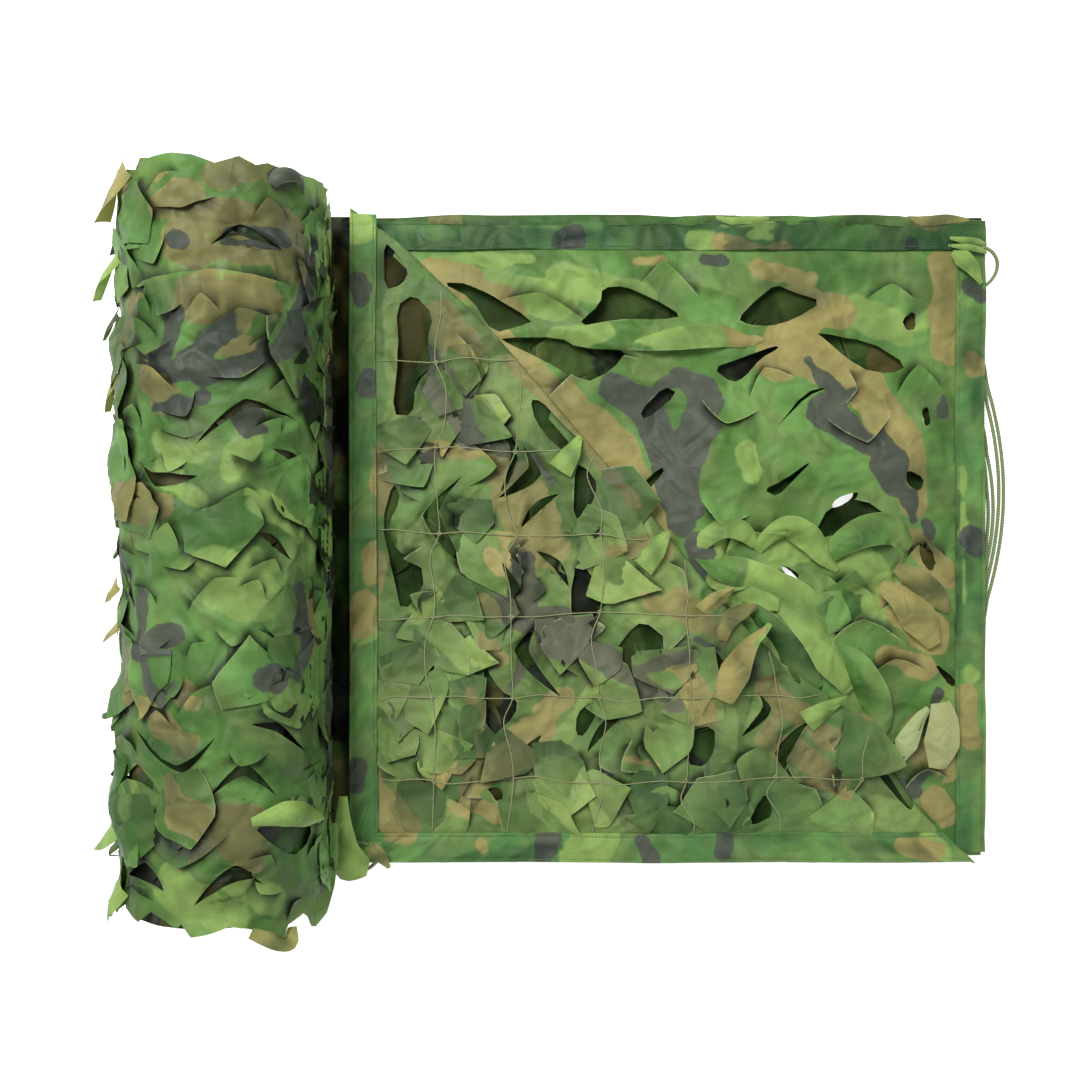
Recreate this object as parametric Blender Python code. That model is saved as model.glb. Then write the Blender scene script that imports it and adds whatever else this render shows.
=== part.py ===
"""A leaf-cut camouflage net, folded in four along its length and rolled up from one end.

The loose end lies flat beside the roll, and the top layer's far corner is turned back over it along a
diagonal. Metres, +Z up. The origin is on the surface, under the middle of the whole thing. The roll's axis
runs along Y, and the loose end reaches to +X.
"""

import math

import bmesh
import bpy
import numpy as np

# Cloth, binding and cord, as they are made
CLOTH_THICK = 0.0012
TAPE_THICK = 0.0010
TAPE_WIDTH = 0.0335
PLAIN_BORDER = 0.0220
CORD_RADIUS = 0.0020
GAP = 0.0003
FIT = CLOTH_THICK / 2 + GAP + TAPE_THICK / 2
BEND_CLEAR = 0.0018  # room that a binding keeps to the inside of the cloth's bend

# Roll
ROLL_X = -0.352
ROLL_RADIUS = 0.107
ROLL_LOW_Y = -0.364
ROLL_HIGH_Y = 0.366
ROLL_SINK = 0.0018  # how far its underside is pressed flat
TURN_PITCH = 0.024  # one turn of the wound bundle, twice the real one so that it shows as a ridge
ROUND_STEPS = 44
LENGTH_STEPS = 31
END_RINGS = 8
LOBE_ARC = 7  # leaf lobes round the roll
LOBE_PITCH = 0.098  # and one along it
LOBE_LIFT = 0.0115

# Loose end: its four layers and the turned corner, by the middle of the cloth
SEAM_X = -0.277  # where the bundle leaves the roll
STACK_HEIGHT = 0.0275
LAYER_Z = (0.0006, 0.0072, 0.0140, 0.0208, 0.0282)
WAVE_SHARE = (0.0, 0.35, 0.7, 1.0, 1.15)
WAVE_HEIGHT = 0.0070
FLOOR, SECOND, THIRD, TOP, FLAP = range(5)
END_X = 0.474
TOP_EDGE_Y = 0.3725
FOLD_HIGH_Y = 0.3765
FOLD_LOW_Y = -0.3430
CORNER_HIGH = (-0.244, 0.3755)  # where the turned corner's crease starts
CORNER_FAR = (0.4526, -0.3500)  # and where it ends
LEAF_CELLS = 6
GRID = LEAF_CELLS + 4
LIP_RISE = 0.0026

# Leaf cut, as shares of its cell, anticlockwise from its left tip: across, up, rise of its lip
LEAF_CUT = (
    (0.11, 0.46, 0.0),
    (0.36, 0.27, -0.3),
    (0.66, 0.26, -0.3),
    (0.90, 0.50, 0.0),
    (0.52, 0.64, 1.0),
)

# The longest tips of cloth on the roll: angle in degrees from +X over the top, place along it, reach
LONG_TIPS = (
    (146, 0.300, 0.011),
    (158, 0.195, 0.015),
    (170, 0.148, 0.010),
    (152, 0.050, 0.006),
    (166, -0.062, 0.011),
    (154, -0.098, 0.012),
    (168, -0.160, 0.010),
    (158, -0.262, 0.014),
    (150, -0.318, 0.009),
    (205, 0.240, 0.012),
    (214, 0.010, 0.011),
    (200, -0.230, 0.012),
)
TIP_ROWS = 8  # shorter tips, one for each lobe
TIP_REACH = 0.0085
END_TIP_RISE = 0.017

# Cord routes, by the middle of the cord, each from where it leaves the net to where it goes back
LOOP_TOP = (
    (0.430, 0.3430, 0.0185),
    (0.448, 0.3440, 0.0186),
    (0.464, 0.3430, 0.0187),
    (0.478, 0.3385, 0.0185),
    (0.4865, 0.3290, 0.0165),
    (0.4880, 0.3180, 0.0140),
    (0.4840, 0.3080, 0.0120),
    (0.4770, 0.3010, 0.0106),
    (0.4690, 0.2980, 0.0106),
)
LOOP_LOW = (
    (-0.204, -0.3370, 0.0360),
    (-0.213, -0.3480, 0.0356),
    (-0.225, -0.3570, 0.0350),
    (-0.239, -0.3580, 0.0344),
    (-0.249, -0.3500, 0.0341),
    (-0.251, -0.3390, 0.0341),
    (-0.244, -0.3290, 0.0346),
    (-0.233, -0.3260, 0.0352),
    (-0.222, -0.3290, 0.0359),
)

# Each strand's bulge past the edge, and where it leaves and comes back under it
SIDE_STRANDS = (
    ("side_strand_1", 0.0270, 0.233, -0.110),
    ("side_strand_2", 0.0215, 0.216, -0.092),
    ("side_strand_3", 0.0150, 0.160, -0.070),
    ("side_strand_4", 0.0095, 0.128, -0.050),
)
STRAND_LAYER_Z = 0.0107
STRAND_TUCK = 0.010
STRAND_POINTS = 26

GREEN = (0.10, 0.19, 0.06)
LEAF_GREEN = (0.13, 0.22, 0.07)
BAND_GREEN = (0.08, 0.18, 0.07)
CORD_GREEN = (0.22, 0.26, 0.14)


def clear_scene():
    for obj in list(bpy.data.objects):
        bpy.data.objects.remove(obj)


def cloth_material(name, colour, roughness):
    material = bpy.data.materials.new(name)
    material.use_nodes = True
    shader = material.node_tree.nodes["Principled BSDF"]
    shader.inputs["Base Color"].default_value = (*colour, 1.0)
    shader.inputs["Roughness"].default_value = roughness
    shader.inputs["Metallic"].default_value = 0.0
    return material


def add_object(name, mesh, material):
    mesh.materials.append(material)
    obj = bpy.data.objects.new(name, mesh)
    bpy.context.scene.collection.objects.link(obj)
    return obj


def mesh_of(name, bm):
    bmesh.ops.triangulate(bm, faces=[f for f in bm.faces if len(f.verts) > 4])
    bmesh.ops.recalc_face_normals(bm, faces=bm.faces[:])
    mesh = bpy.data.meshes.new(name)
    bm.to_mesh(mesh)
    bm.free()
    return mesh


# ---------------------------------------------------------------- roll


def roll_profile():
    """Points of the roll's section, as (x from its axis, z, angle), over the top from the loose end."""
    axis_z = ROLL_RADIUS - ROLL_SINK
    reach = SEAM_X - ROLL_X
    join = math.asin((STACK_HEIGHT + 0.004 - axis_z) / ROLL_RADIUS)
    bottom = math.radians(270)
    steps = ROUND_STEPS - 6
    points = []
    for i in range(steps + 1):
        angle = join + (bottom - join) * i / steps
        points.append((ROLL_RADIUS * math.cos(angle), axis_z + ROLL_RADIUS * math.sin(angle), angle))
    for share in (0.3, 0.65, 1.0):
        points.append((reach * share, 0.0, None))
    points.append((reach, STACK_HEIGHT * 0.5, None))
    points.append((reach, STACK_HEIGHT, None))
    return points


def lobe_relief(angle, y):
    """Lift of the overlapping leaf lobes: each swells towards its free edge and ends in a step."""
    row = y / LOBE_PITCH + 0.18 * math.sin(3 * angle)
    column = angle * LOBE_ARC / (2 * math.pi) + 0.5 * (math.floor(row) % 2)
    across = math.sin(math.pi * (column % 1.0))
    along = (row % 1.0 + 0.35 * across) % 1.0
    swell = 0.35 * math.sin(2.1 * angle + 11 * y) + 0.25 * math.sin(17 * y - 1.3 * angle)
    return LOBE_LIFT * (0.75 * along * (0.4 + 0.6 * across) + 0.35 * swell - 0.3)


def short_tips():
    """One tip for each lobe, unevenly placed and as unevenly long."""
    tips = []
    for row in range(TIP_ROWS):
        for column in range(LOBE_ARC):
            jitter = math.sin(12.9898 * (row * LOBE_ARC + column) + 4.1)
            degrees = -30 + (column + 0.5 * (row % 2) + 0.2 * jitter) * 300 / LOBE_ARC
            y = ROLL_LOW_Y + (row + 0.5 + 0.3 * jitter) * (ROLL_HIGH_Y - ROLL_LOW_Y) / TIP_ROWS
            tips.append((degrees, y, TIP_REACH * (0.75 + 0.45 * jitter)))
    return tips


def end_rise(index, sign):
    """How far the rim of one end stands out past the roll's length: cloth tips between notches."""
    tooth = (0.2, 1.0, 0.45, 0.0, 0.7, 0.1)[(index * 5 + (0 if sign > 0 else index // 6)) % 6]
    return sign * END_TIP_RISE * tooth * (0.8 + 0.2 * math.sin(index * 1.7))


def build_roll(material):
    profile = roll_profile()
    count = len(profile)
    axis_z = ROLL_RADIUS - ROLL_SINK
    bm = bmesh.new()
    tips = {}
    for degrees, y, reach in (*short_tips(), *LONG_TIPS):
        near = min(
            (i for i in range(count) if profile[i][2] is not None),
            key=lambda i: abs(math.degrees(profile[i][2]) - degrees),
        )
        row = round((y - ROLL_LOW_Y) / (ROLL_HIGH_Y - ROLL_LOW_Y) * LENGTH_STEPS)
        tips[near, row] = reach
    rows = []
    for j in range(LENGTH_STEPS + 1):
        along = ROLL_LOW_Y + (ROLL_HIGH_Y - ROLL_LOW_Y) * j / LENGTH_STEPS
        row = []
        for i, (dx, z, angle) in enumerate(profile):
            y = along
            if angle is not None and j in (0, LENGTH_STEPS):
                y += end_rise(i, 1 if j else -1) * (1 if z > 0.02 else 0)
            if angle is not None and z > 0.012:
                lift = lobe_relief(angle, along) + tips.get((i, j), 0.0)
                fade = min(1.0, (z - 0.012) / 0.03)
                dx += lift * fade * math.cos(angle)
                z += lift * fade * math.sin(angle)
            row.append(bm.verts.new((ROLL_X + dx, y, max(z, 0.0))))
        rows.append(row)
    for low, high in zip(rows, rows[1:]):
        for i in range(count):
            k = (i + 1) % count
            bm.faces.new((low[i], low[k], high[k], high[i]))
    for rim, sign in ((rows[0], -1), (rows[-1], 1)):
        end = ROLL_LOW_Y if sign < 0 else ROLL_HIGH_Y
        outer = rim
        for ring in range(1, END_RINGS + 1):
            share = 1.0 - ring / (END_RINGS + 1)
            inner = []
            for i, vert in enumerate(rim):
                bearing = math.atan2(vert.co.z - axis_z, vert.co.x - ROLL_X)
                x = ROLL_X + ROLL_RADIUS * share * math.cos(bearing)
                z = axis_z + ROLL_RADIUS * share * math.sin(bearing)
                turn = (share * ROLL_RADIUS / TURN_PITCH + i / count) % 1.0
                depth = 0.006 + 0.012 * abs(2 * turn - 1)
                inner.append(bm.verts.new((x, end - sign * depth, z)))
            for i in range(count):
                k = (i + 1) % count
                bm.faces.new((outer[i], inner[i], inner[k], outer[k]))
            outer = inner
        centre = bm.verts.new((ROLL_X, end - sign * 0.012, axis_z))
        for i in range(count):
            bm.faces.new((outer[i], centre, outer[(i + 1) % count]))
    bmesh.ops.triangulate(bm, faces=bm.faces[:])
    return add_object("net_roll", mesh_of("net_roll", bm), material)


# ---------------------------------------------------------------- loose end


def grid_lines(start, end):
    """Lines across the cloth: binding, plain border, the leaf cells, plain border, binding."""
    edges = TAPE_WIDTH + PLAIN_BORDER
    cell = (abs(end - start) - 2 * edges) / LEAF_CELLS
    steps = [0.0, TAPE_WIDTH, edges]
    steps += [edges + cell * (n + 1) for n in range(LEAF_CELLS)]
    steps += [abs(end - start) - TAPE_WIDTH, abs(end - start)]
    return [start + math.copysign(s, end - start) for s in steps]


def wave(x, y):
    """Height of the slack in the cloth, none at the roll, the free end and the bound edges."""
    ridge = math.sin(math.pi * (x + 0.6 * y) / 0.21) * math.cos(math.pi * (y - 0.4 * x) / 0.33)
    ripple = math.sin(math.pi * (x - 1.3 * y) / 0.13 + 1.0)
    calm_x = min(1.0, max(0.0, (x - SEAM_X) / 0.06)) * min(1.0, max(0.0, (0.43 - x) / 0.06))
    calm_y = min(1.0, max(0.0, (FOLD_HIGH_Y - abs(y)) / 0.05))
    return WAVE_HEIGHT * (0.5 + 0.32 * ridge + 0.18 * ripple) * calm_x * (0.15 + 0.85 * calm_y)


def height(layer, x, y):
    return LAYER_Z[layer] + WAVE_SHARE[layer] * wave(x, y)


def layer_lines(layer):
    """Where a layer's grid lines lie: along X from the roll, and along Y from its low edge."""
    if layer == TOP:
        columns = [SEAM_X + GAP] + grid_lines(CORNER_HIGH[0], CORNER_FAR[0])
        return columns, grid_lines(CORNER_FAR[1], CORNER_HIGH[1])
    start = CORNER_HIGH[0]
    low = FOLD_LOW_Y if layer in (SECOND, THIRD) else CORNER_FAR[1]
    high = TOP_EDGE_Y if layer == THIRD else FOLD_HIGH_Y
    return [SEAM_X + GAP] + grid_lines(start, END_X), grid_lines(low, high)


def turned(x, y):
    """Where a point of the top layer goes when its corner is turned over, its edges square again."""
    (ax, ay), (bx, by) = CORNER_HIGH, CORNER_FAR
    slope = (ay - by) / (bx - ax)
    return ax + (ay - y) / slope, ay - (x - ax) * slope


def tilted(points, quarter):
    """The leaf cut turned by quarters of its cell."""
    for _ in range(quarter):
        points = [(1 - v, u, rise) for u, v, rise in points]
    return points


def cut_cell(bm, corners, place, quarter):
    """Faces of one cell round its leaf cut. place(u, v, rise) gives the cut's points."""
    middle = np.mean([c.co for c in corners], axis=0)
    hole = [bm.verts.new(place(u, v, rise)) for u, v, rise in tilted(LEAF_CUT, quarter)]

    def bearing(vert):
        return math.atan2(vert.co.y - middle[1], vert.co.x - middle[0])

    outer = sorted(corners, key=bearing)
    inner = sorted(hole, key=bearing)
    start = min(range(len(inner)), key=lambda n: abs(bearing(inner[n]) - bearing(outer[0])))
    inner = inner[start:] + inner[:start]
    i = j = 0
    total = len(outer) + len(inner)

    def span(ring, base, n):
        return (bearing(ring[n % len(ring)]) - base) % (2 * math.pi) + (2 * math.pi if n >= len(ring) else 0)

    base = min(bearing(outer[0]), bearing(inner[0])) - 1e-6
    for _ in range(total):
        a, b = outer[i % len(outer)], inner[j % len(inner)]
        next_outer = span(outer, base, i + 1) if i < len(outer) else math.inf
        next_inner = span(inner, base, j + 1) if j < len(inner) else math.inf
        if next_outer <= next_inner:
            bm.faces.new((a, outer[(i + 1) % len(outer)], b))
            i += 1
        else:
            bm.faces.new((a, inner[(j + 1) % len(inner)], b))
            j += 1


def is_leaf_cell(i, j):
    return 3 <= i < 3 + LEAF_CELLS and 2 <= j < 2 + LEAF_CELLS


def fill_layer(bm, layer, grid, cells, position, every=1, phase=0):
    """Faces of one layer's cells, with a leaf cut in each leaf cell, or in every second one each way."""
    columns, rows = layer_lines(layer if layer != FLAP else TOP)
    for i, j in cells:
        corners = [grid[i, j], grid[i + 1, j], grid[i + 1, j + 1], grid[i, j + 1]]
        if not is_leaf_cell(i, j) or (i - 3 + phase) % every or (j - 2 + phase) % every:
            bm.faces.new(corners)
            continue

        def place(u, v, rise, i=i, j=j):
            x = columns[i] + u * (columns[i + 1] - columns[i])
            y = rows[j] + v * (rows[j + 1] - rows[j])
            px, py = position(x, y)
            lip = LIP_RISE * (max(0.0, rise) if layer == FLOOR else rise)
            return px, py, height(layer, px, py) + lip

        quarter = (2 * ((i + j) % 2) + (1 if (i * 5 + j * 3) % 4 == 0 else 0)) % 4
        cut_cell(bm, corners, place, quarter)


def layer_grid(bm, layer, keep):
    columns, rows = layer_lines(layer)
    return {
        (i, j): bm.verts.new((x, y, height(layer, x, y)))
        for i, x in enumerate(columns)
        for j, y in enumerate(rows)
        if keep(i, j)
    }


def fold(bm, upper, lower, side, reach, points):
    """The bend that joins two layers' edges: points between them, standing out towards side by reach."""
    previous = upper
    for n in range(1, points + 1):
        angle = math.pi * n / (points + 1)
        ring = []
        for a, b in zip(upper, lower):
            share = (1 - math.cos(angle)) / 2
            spot = a.co.lerp(b.co, share)
            spot.y += side * reach * math.sin(angle)
            ring.append(bm.verts.new(spot))
        for k in range(len(ring) - 1):
            bm.faces.new((previous[k], previous[k + 1], ring[k + 1], ring[k]))
        previous = ring
    for k in range(len(lower) - 1):
        bm.faces.new((previous[k], previous[k + 1], lower[k + 1], lower[k]))


def crease(bm, below, above):
    """The turned corner's crease: one row of points between the top layer and the flap."""
    (ax, ay), (bx, by) = CORNER_HIGH, CORNER_FAR
    length = math.hypot(bx - ax, by - ay)
    out_x, out_y = -(by - ay) / length, (bx - ax) / length
    reach = (LAYER_Z[FLAP] - LAYER_Z[TOP]) / 2
    ring = []
    for low, high in zip(below, above):
        spot = low.co.lerp(high.co, 0.5)
        spot.x += out_x * reach
        spot.y += out_y * reach
        ring.append(bm.verts.new(spot))
    for first, second in ((below, ring), (ring, above)):
        for k in range(len(ring) - 1):
            bm.faces.new((first[k], first[k + 1], second[k + 1], second[k]))


def build_folded_net(material):
    bm = bmesh.new()
    whole = [(i, j) for i in range(GRID + 1) for j in range(GRID)]
    grids = {}
    for layer, every, phase in ((FLOOR, 2, 0), (SECOND, 2, 1), (THIRD, 1, 0)):
        grids[layer] = layer_grid(bm, layer, lambda i, j: True)
        fill_layer(bm, layer, grids[layer], whole, lambda x, y: (x, y), every, phase)

    grids[TOP] = layer_grid(bm, TOP, lambda i, j: i == 0 or (i - 1) + j <= GRID)
    under = [(i, j) for i, j in whole if i == 0 or i + j < GRID]
    fill_layer(bm, TOP, grids[TOP], under, lambda x, y: (x, y))

    columns, rows = layer_lines(TOP)
    flap = {}
    for i in range(1, GRID + 2):
        for j in range(GRID + 1):
            if (i - 1) + j >= GRID:
                x, y = turned(columns[i], rows[j])
                flap[i, j] = bm.verts.new((x, y, height(FLAP, x, y)))
    over = [(i, j) for i, j in whole if i >= 1 and (i - 1) + j >= GRID]
    fill_layer(bm, FLAP, flap, over, turned)

    seam = [(i, GRID - (i - 1)) for i in range(1, GRID + 2)]
    for (i, j), (k, m) in zip(seam, seam[1:]):
        bm.faces.new((grids[TOP][i, j], grids[TOP][i, m], grids[TOP][k, m]))
        bm.faces.new((flap[i, j], flap[k, j], flap[k, m]))
    crease(bm, [grids[TOP][spot] for spot in seam], [flap[spot] for spot in seam])

    def edge(layer, j):
        return [grids[layer][i, j] for i in range(GRID + 2)]

    fold(bm, edge(TOP, 0), edge(FLOOR, 0), -1, 0.0055, 3)
    fold(bm, edge(SECOND, GRID), edge(FLOOR, GRID), 1, 0.0030, 1)
    fold(bm, edge(THIRD, 0), edge(SECOND, 0), -1, 0.0030, 1)
    mesh = mesh_of("folded_net", bm)
    obj = add_object("folded_net", mesh, material)
    thicken(obj, CLOTH_THICK)
    return obj


def thicken(obj, thickness):
    solidify = obj.modifiers.new("cloth thickness", "SOLIDIFY")
    solidify.thickness = thickness
    solidify.offset = 0.0
    solidify.use_even_offset = False


# ---------------------------------------------------------------- binding and cord


def binding(name, faces, material):
    """A binding strip. Each face is a ring of points, shared with its neighbours where they meet."""
    bm = bmesh.new()
    corners = dict.fromkeys(point for face in faces for point in face)
    verts = {point: bm.verts.new(point) for point in corners}
    for face in faces:
        bm.faces.new([verts[point] for point in face])
    obj = add_object(name, mesh_of(name, bm), material)
    thicken(obj, TAPE_THICK)


def cells_on(layer, lines, cells, side=1):
    """The cells of a layer, raised to lie on it, or under it, as rings of points."""
    columns, rows = lines
    faces = []
    for cell in cells:
        face = []
        for i, j in cell:
            x, y = columns[i], rows[j]
            if layer == FLAP:
                x, y = turned(x, y)
            face.append((x, y, height(layer, x, y) + side * FIT))
        faces.append(face)
    return faces


def square(i, j):
    return (i, j), (i + 1, j), (i + 1, j + 1), (i, j + 1)


def build_bindings(material):
    last = GRID - 1
    lines = layer_lines(THIRD)
    binding("tape_top", cells_on(THIRD, lines, [square(i, last) for i in range(GRID + 1)]), material)
    lines[1][last] -= 2 * GAP
    binding("tape_right", cells_on(THIRD, lines, [square(GRID, j) for j in range(last)]), material)

    lines = layer_lines(TOP)
    start = ((1, GRID), (2, GRID), (2, last))
    squares = [square(i, last) for i in range(2, GRID + 1)]
    binding("tape_flap_left", cells_on(FLAP, lines, [start, *squares]), material)
    lines[1][last] -= 2 * GAP
    end = ((GRID, 1), (GRID + 1, 1), (GRID + 1, 0))
    squares = [square(GRID, j) for j in range(1, last)]
    binding("tape_flap_bottom", cells_on(FLAP, lines, [end, *squares]), material)

    lines = layer_lines(SECOND)
    lines[1][GRID] -= BEND_CLEAR
    squares = [square(GRID, j) for j in range(GRID)]
    above = cells_on(SECOND, lines, squares, -1)
    lines = layer_lines(FLOOR)
    lines[1][GRID] -= BEND_CLEAR
    below = cells_on(FLOOR, lines, squares)
    (_, _, a, b), (_, _, c, d) = above[-1], below[-1]
    bend = [tuple((p + q) / 2 + r for p, q, r in zip(u, v, (0, BEND_CLEAR, 0))) for u, v in ((a, c), (b, d))]
    binding("tape_end_lower", [*above, *below, (a, b, bend[1], bend[0]), (bend[0], bend[1], d, c)], material)


def smooth_route(route, step):
    """Points a step apart on a smooth curve through the route's own points."""
    points = [np.array(p) for p in route]
    points = [2 * points[0] - points[1]] + points + [2 * points[-1] - points[-2]]
    fine = []
    for a, b, c, d in zip(points, points[1:], points[2:], points[3:]):
        for t in np.linspace(0.0, 1.0, 16, endpoint=False):
            curve = 2 * b + (c - a) * t
            curve = curve + (2 * a - 5 * b + 4 * c - d) * t**2 + (3 * b - a - 3 * c + d) * t**3
            fine.append(curve / 2)
    fine.append(points[-2])
    fine = np.array(fine)
    lengths = np.concatenate([[0.0], np.cumsum(np.linalg.norm(np.diff(fine, axis=0), axis=1))])
    stations = np.linspace(0.0, lengths[-1], max(2, round(lengths[-1] / step)) + 1)
    return np.column_stack([np.interp(stations, lengths, fine[:, k]) for k in range(3)])


def build_cord(name, route, material, step=0.010):
    data = bpy.data.curves.new(name, "CURVE")
    data.dimensions = "3D"
    data.bevel_depth = CORD_RADIUS
    data.bevel_resolution = 2
    data.use_fill_caps = True
    points = smooth_route(route, step)
    spline = data.splines.new("POLY")
    spline.points.add(len(points) - 1)
    for point, spot in zip(spline.points, points):
        point.co = (*spot, 1.0)
    return add_object(name, data, material)


def strand_route(bulge, high, low):
    """One strand: out from between two layers, down to the surface, along it in a bow, and back."""
    route = []
    for n in range(STRAND_POINTS):
        share = n / (STRAND_POINTS - 1)
        y = high + (low - high) * share
        out = math.sin(math.pi * min(1.0, share * 1.02)) ** 0.8
        x = END_X - STRAND_TUCK + (bulge + STRAND_TUCK) * out
        clear = min(1.0, max(0.0, (x - END_X - 0.001) / 0.007))
        z = STRAND_LAYER_Z + (CORD_RADIUS + 0.0002 - STRAND_LAYER_Z) * clear
        route.append((x, y, z))
    return route


def main():
    clear_scene()
    cloth = cloth_material("printed_polyester", GREEN, 0.6)
    loose = cloth_material("printed_polyester_loose", LEAF_GREEN, 0.6)
    woven = cloth_material("woven_binding", BAND_GREEN, 0.7)
    cord = cloth_material("braided_cord", CORD_GREEN, 0.75)
    build_roll(cloth)
    build_folded_net(loose)
    build_bindings(woven)
    build_cord("corner_loop_top", LOOP_TOP, cord)
    build_cord("corner_loop_low", LOOP_LOW, cord)
    for name, bulge, high, low in SIDE_STRANDS:
        build_cord(name, strand_route(bulge, high, low), cord, 0.014)


main()
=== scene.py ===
"""A leaf-cut camouflage net, folded in four along its length and rolled up from one end: its cloth layers,
bindings, twine and cords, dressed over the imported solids. Metres, +Z up, in the frame of the solids."""

import math
from collections import namedtuple

import bpy
import numpy as np
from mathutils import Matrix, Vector, kdtree
from mathutils.bvhtree import BVHTree
from mathutils.geometry import delaunay_2d_cdt


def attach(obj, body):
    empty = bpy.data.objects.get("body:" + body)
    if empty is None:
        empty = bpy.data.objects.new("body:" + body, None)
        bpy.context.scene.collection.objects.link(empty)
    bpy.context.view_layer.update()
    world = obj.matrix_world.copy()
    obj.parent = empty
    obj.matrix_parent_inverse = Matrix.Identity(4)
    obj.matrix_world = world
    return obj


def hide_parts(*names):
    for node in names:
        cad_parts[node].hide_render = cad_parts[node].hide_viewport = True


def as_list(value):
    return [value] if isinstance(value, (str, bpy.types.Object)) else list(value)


bl_info = {
    "name": "Camouflage net",
    "version": (1, 0, 0),
    "blender": (4, 5, 0),
    "location": "View3D > Sidebar > Net",
    "description": "Makes a leaf-cut camouflage net, folded in four and rolled up from one end",
    "category": "Add Mesh",
}

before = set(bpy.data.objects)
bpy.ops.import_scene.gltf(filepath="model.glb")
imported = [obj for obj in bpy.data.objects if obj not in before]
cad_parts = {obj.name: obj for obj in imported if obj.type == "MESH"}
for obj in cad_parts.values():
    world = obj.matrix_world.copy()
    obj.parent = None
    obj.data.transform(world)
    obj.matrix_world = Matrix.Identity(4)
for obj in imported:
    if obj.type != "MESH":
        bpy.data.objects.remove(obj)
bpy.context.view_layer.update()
MM = 0.001

# Sizes that the solids have too
TAPE_THICK = 0.0010
TAPE_WIDTH = 0.0335
CORD_RADIUS = 0.0020
ROLL_X = -0.352
ROLL_RADIUS = 0.107
ROLL_LOW_Y = -0.364
ROLL_HIGH_Y = 0.366
ROLL_AXIS_Z = ROLL_RADIUS - 0.0018  # it sags a little onto the surface
SEAM_X = -0.277
LAYER_Z = (0.0006, 0.0072, 0.0140, 0.0208, 0.0282)
WAVE_SHARE = (0.0, 0.35, 0.7, 1.0, 1.15)
WAVE_HEIGHT = 0.0070
FLOOR, SECOND, THIRD, TOP, FLAP = range(5)
END_X = 0.474
TOP_EDGE_Y = 0.3725
FOLD_HIGH_Y = 0.3765
FOLD_LOW_Y = -0.3430
CORNER_HIGH = (-0.244, 0.3755)
CORNER_FAR = (0.4526, -0.3500)

# A cut from its start over its apex to its end: the tongue of cloth inside it curls up by so many
# radians, and the cloth outside it is pulled back by the gap
Cut = namedtuple("Cut", "x0 y0 xa ya x1 y1 gap curl")


# ---------------------------------------------------------------- settings


def linear(hex_colour):
    """An sRGB hex colour as linear red, green and blue."""
    channels = [int(hex_colour[i : i + 2], 16) / 255 for i in (1, 3, 5)]
    return [c / 12.92 if c <= 0.04045 else ((c + 0.055) / 1.055) ** 2.4 for c in channels]


def colour_property(name, description, hex_colour):
    facts = {"name": name, "description": description, "default": linear(hex_colour)}
    return bpy.props.FloatVectorProperty(subtype="COLOR", size=3, min=0, max=1, **facts)


def length_property(name, description, metres):
    facts = {"name": name, "description": description, "default": metres}
    return bpy.props.FloatProperty(subtype="DISTANCE", unit="LENGTH", min=0.0001, **facts)


class NetSizes(bpy.types.PropertyGroup):
    fine_mesh: length_property("Fine mesh", "Spacing of the points of the cloth that shows", 0.0036)
    coarse_mesh: length_property("Coarse mesh", "Spacing of the points of the cloth underneath", 0.0075)
    cut_pitch: length_property("Cut pitch", "Distance from one leaf cut to the next", 0.062)
    twine_radius: length_property("Twine radius", "Half the thickness of the carrying twine", 0.0006)
    stitch_pitch: length_property("Stitch pitch", "Length of one stitch of the bindings", 0.0042)


class NetColours(bpy.types.PropertyGroup):
    green: colour_property("Green", "The print's ground", "#5c874a")
    deep: colour_property("Deep green", "The print's darker green", "#486f38")
    # Mixed into the ground in random patches
    olive: colour_property("Olive", "The print's ground where it has weathered", "#6f7b50")
    light: colour_property("Light green", "The print's pale patches", "#72924f")
    tan: colour_property("Tan", "The print's earth patches", "#868355")
    dark: colour_property("Dark grey", "The print's dark blotches", "#475049")
    # Pale cut edges, also used for painted highlights on the lips and on brightly lit leaves
    edge: colour_property("Cut edge", "The cloth's cut edges", "#b9c48f")
    band: colour_property("Binding", "The bindings' ground", "#477344")
    cord: colour_property("Cord", "The cords", "#7f9160")
    twine: colour_property("Twine", "The carrying twine", "#999d70")
    floor: colour_property("Floor", "The surface that the net lies on", "#f4f4f2")


# ---------------------------------------------------------------- materials


def add_node(tree, kind, inputs=None, **settings):
    """A shader node with its settings, and its inputs as values or as sockets to link."""
    node = tree.nodes.new("ShaderNode" + kind)
    for key, value in settings.items():
        setattr(node, key, value)
    for key, value in (inputs or {}).items():
        if isinstance(value, bpy.types.NodeSocket):
            tree.links.new(value, node.inputs[key])
        else:
            node.inputs[key].default_value = value
    return node


def new_material(name):
    material = bpy.data.materials.new(name)
    material.use_nodes = True
    tree = material.node_tree
    tree.nodes.clear()
    return material, tree


def place_on_cloth(tree):
    return add_node(tree, "UVMap", uv_map="cloth").outputs["UV"]


def add_surface(tree, inputs):
    """The material's one shader, joined to its output."""
    shader = add_node(tree, "BsdfPrincipled", inputs)
    add_node(tree, "OutputMaterial", {"Surface": shader.outputs[0]})


def ranged(tree, value, low, high, to_low=0.0, to_high=1.0):
    """value taken smoothly from one range to another."""
    ends = {"Value": value, "From Min": low, "From Max": high, "To Min": to_low, "To Max": to_high}
    return add_node(tree, "MapRange", ends, interpolation_type="SMOOTHSTEP").outputs["Result"]


def mixed(tree, share, first, second, blend="MIX"):
    inputs = {0: share, 6: first, 7: second}
    return add_node(tree, "Mix", inputs, data_type="RGBA", blend_type=blend).outputs[2]


def noise_at(tree, place, scale, detail):
    return add_node(tree, "TexNoise", {"Vector": place, "Scale": scale, "Detail": detail}).outputs["Fac"]


def combined(tree, first, second, operation="MULTIPLY"):
    return add_node(tree, "Math", {0: first, 1: second}, operation=operation).outputs[0]


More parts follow.
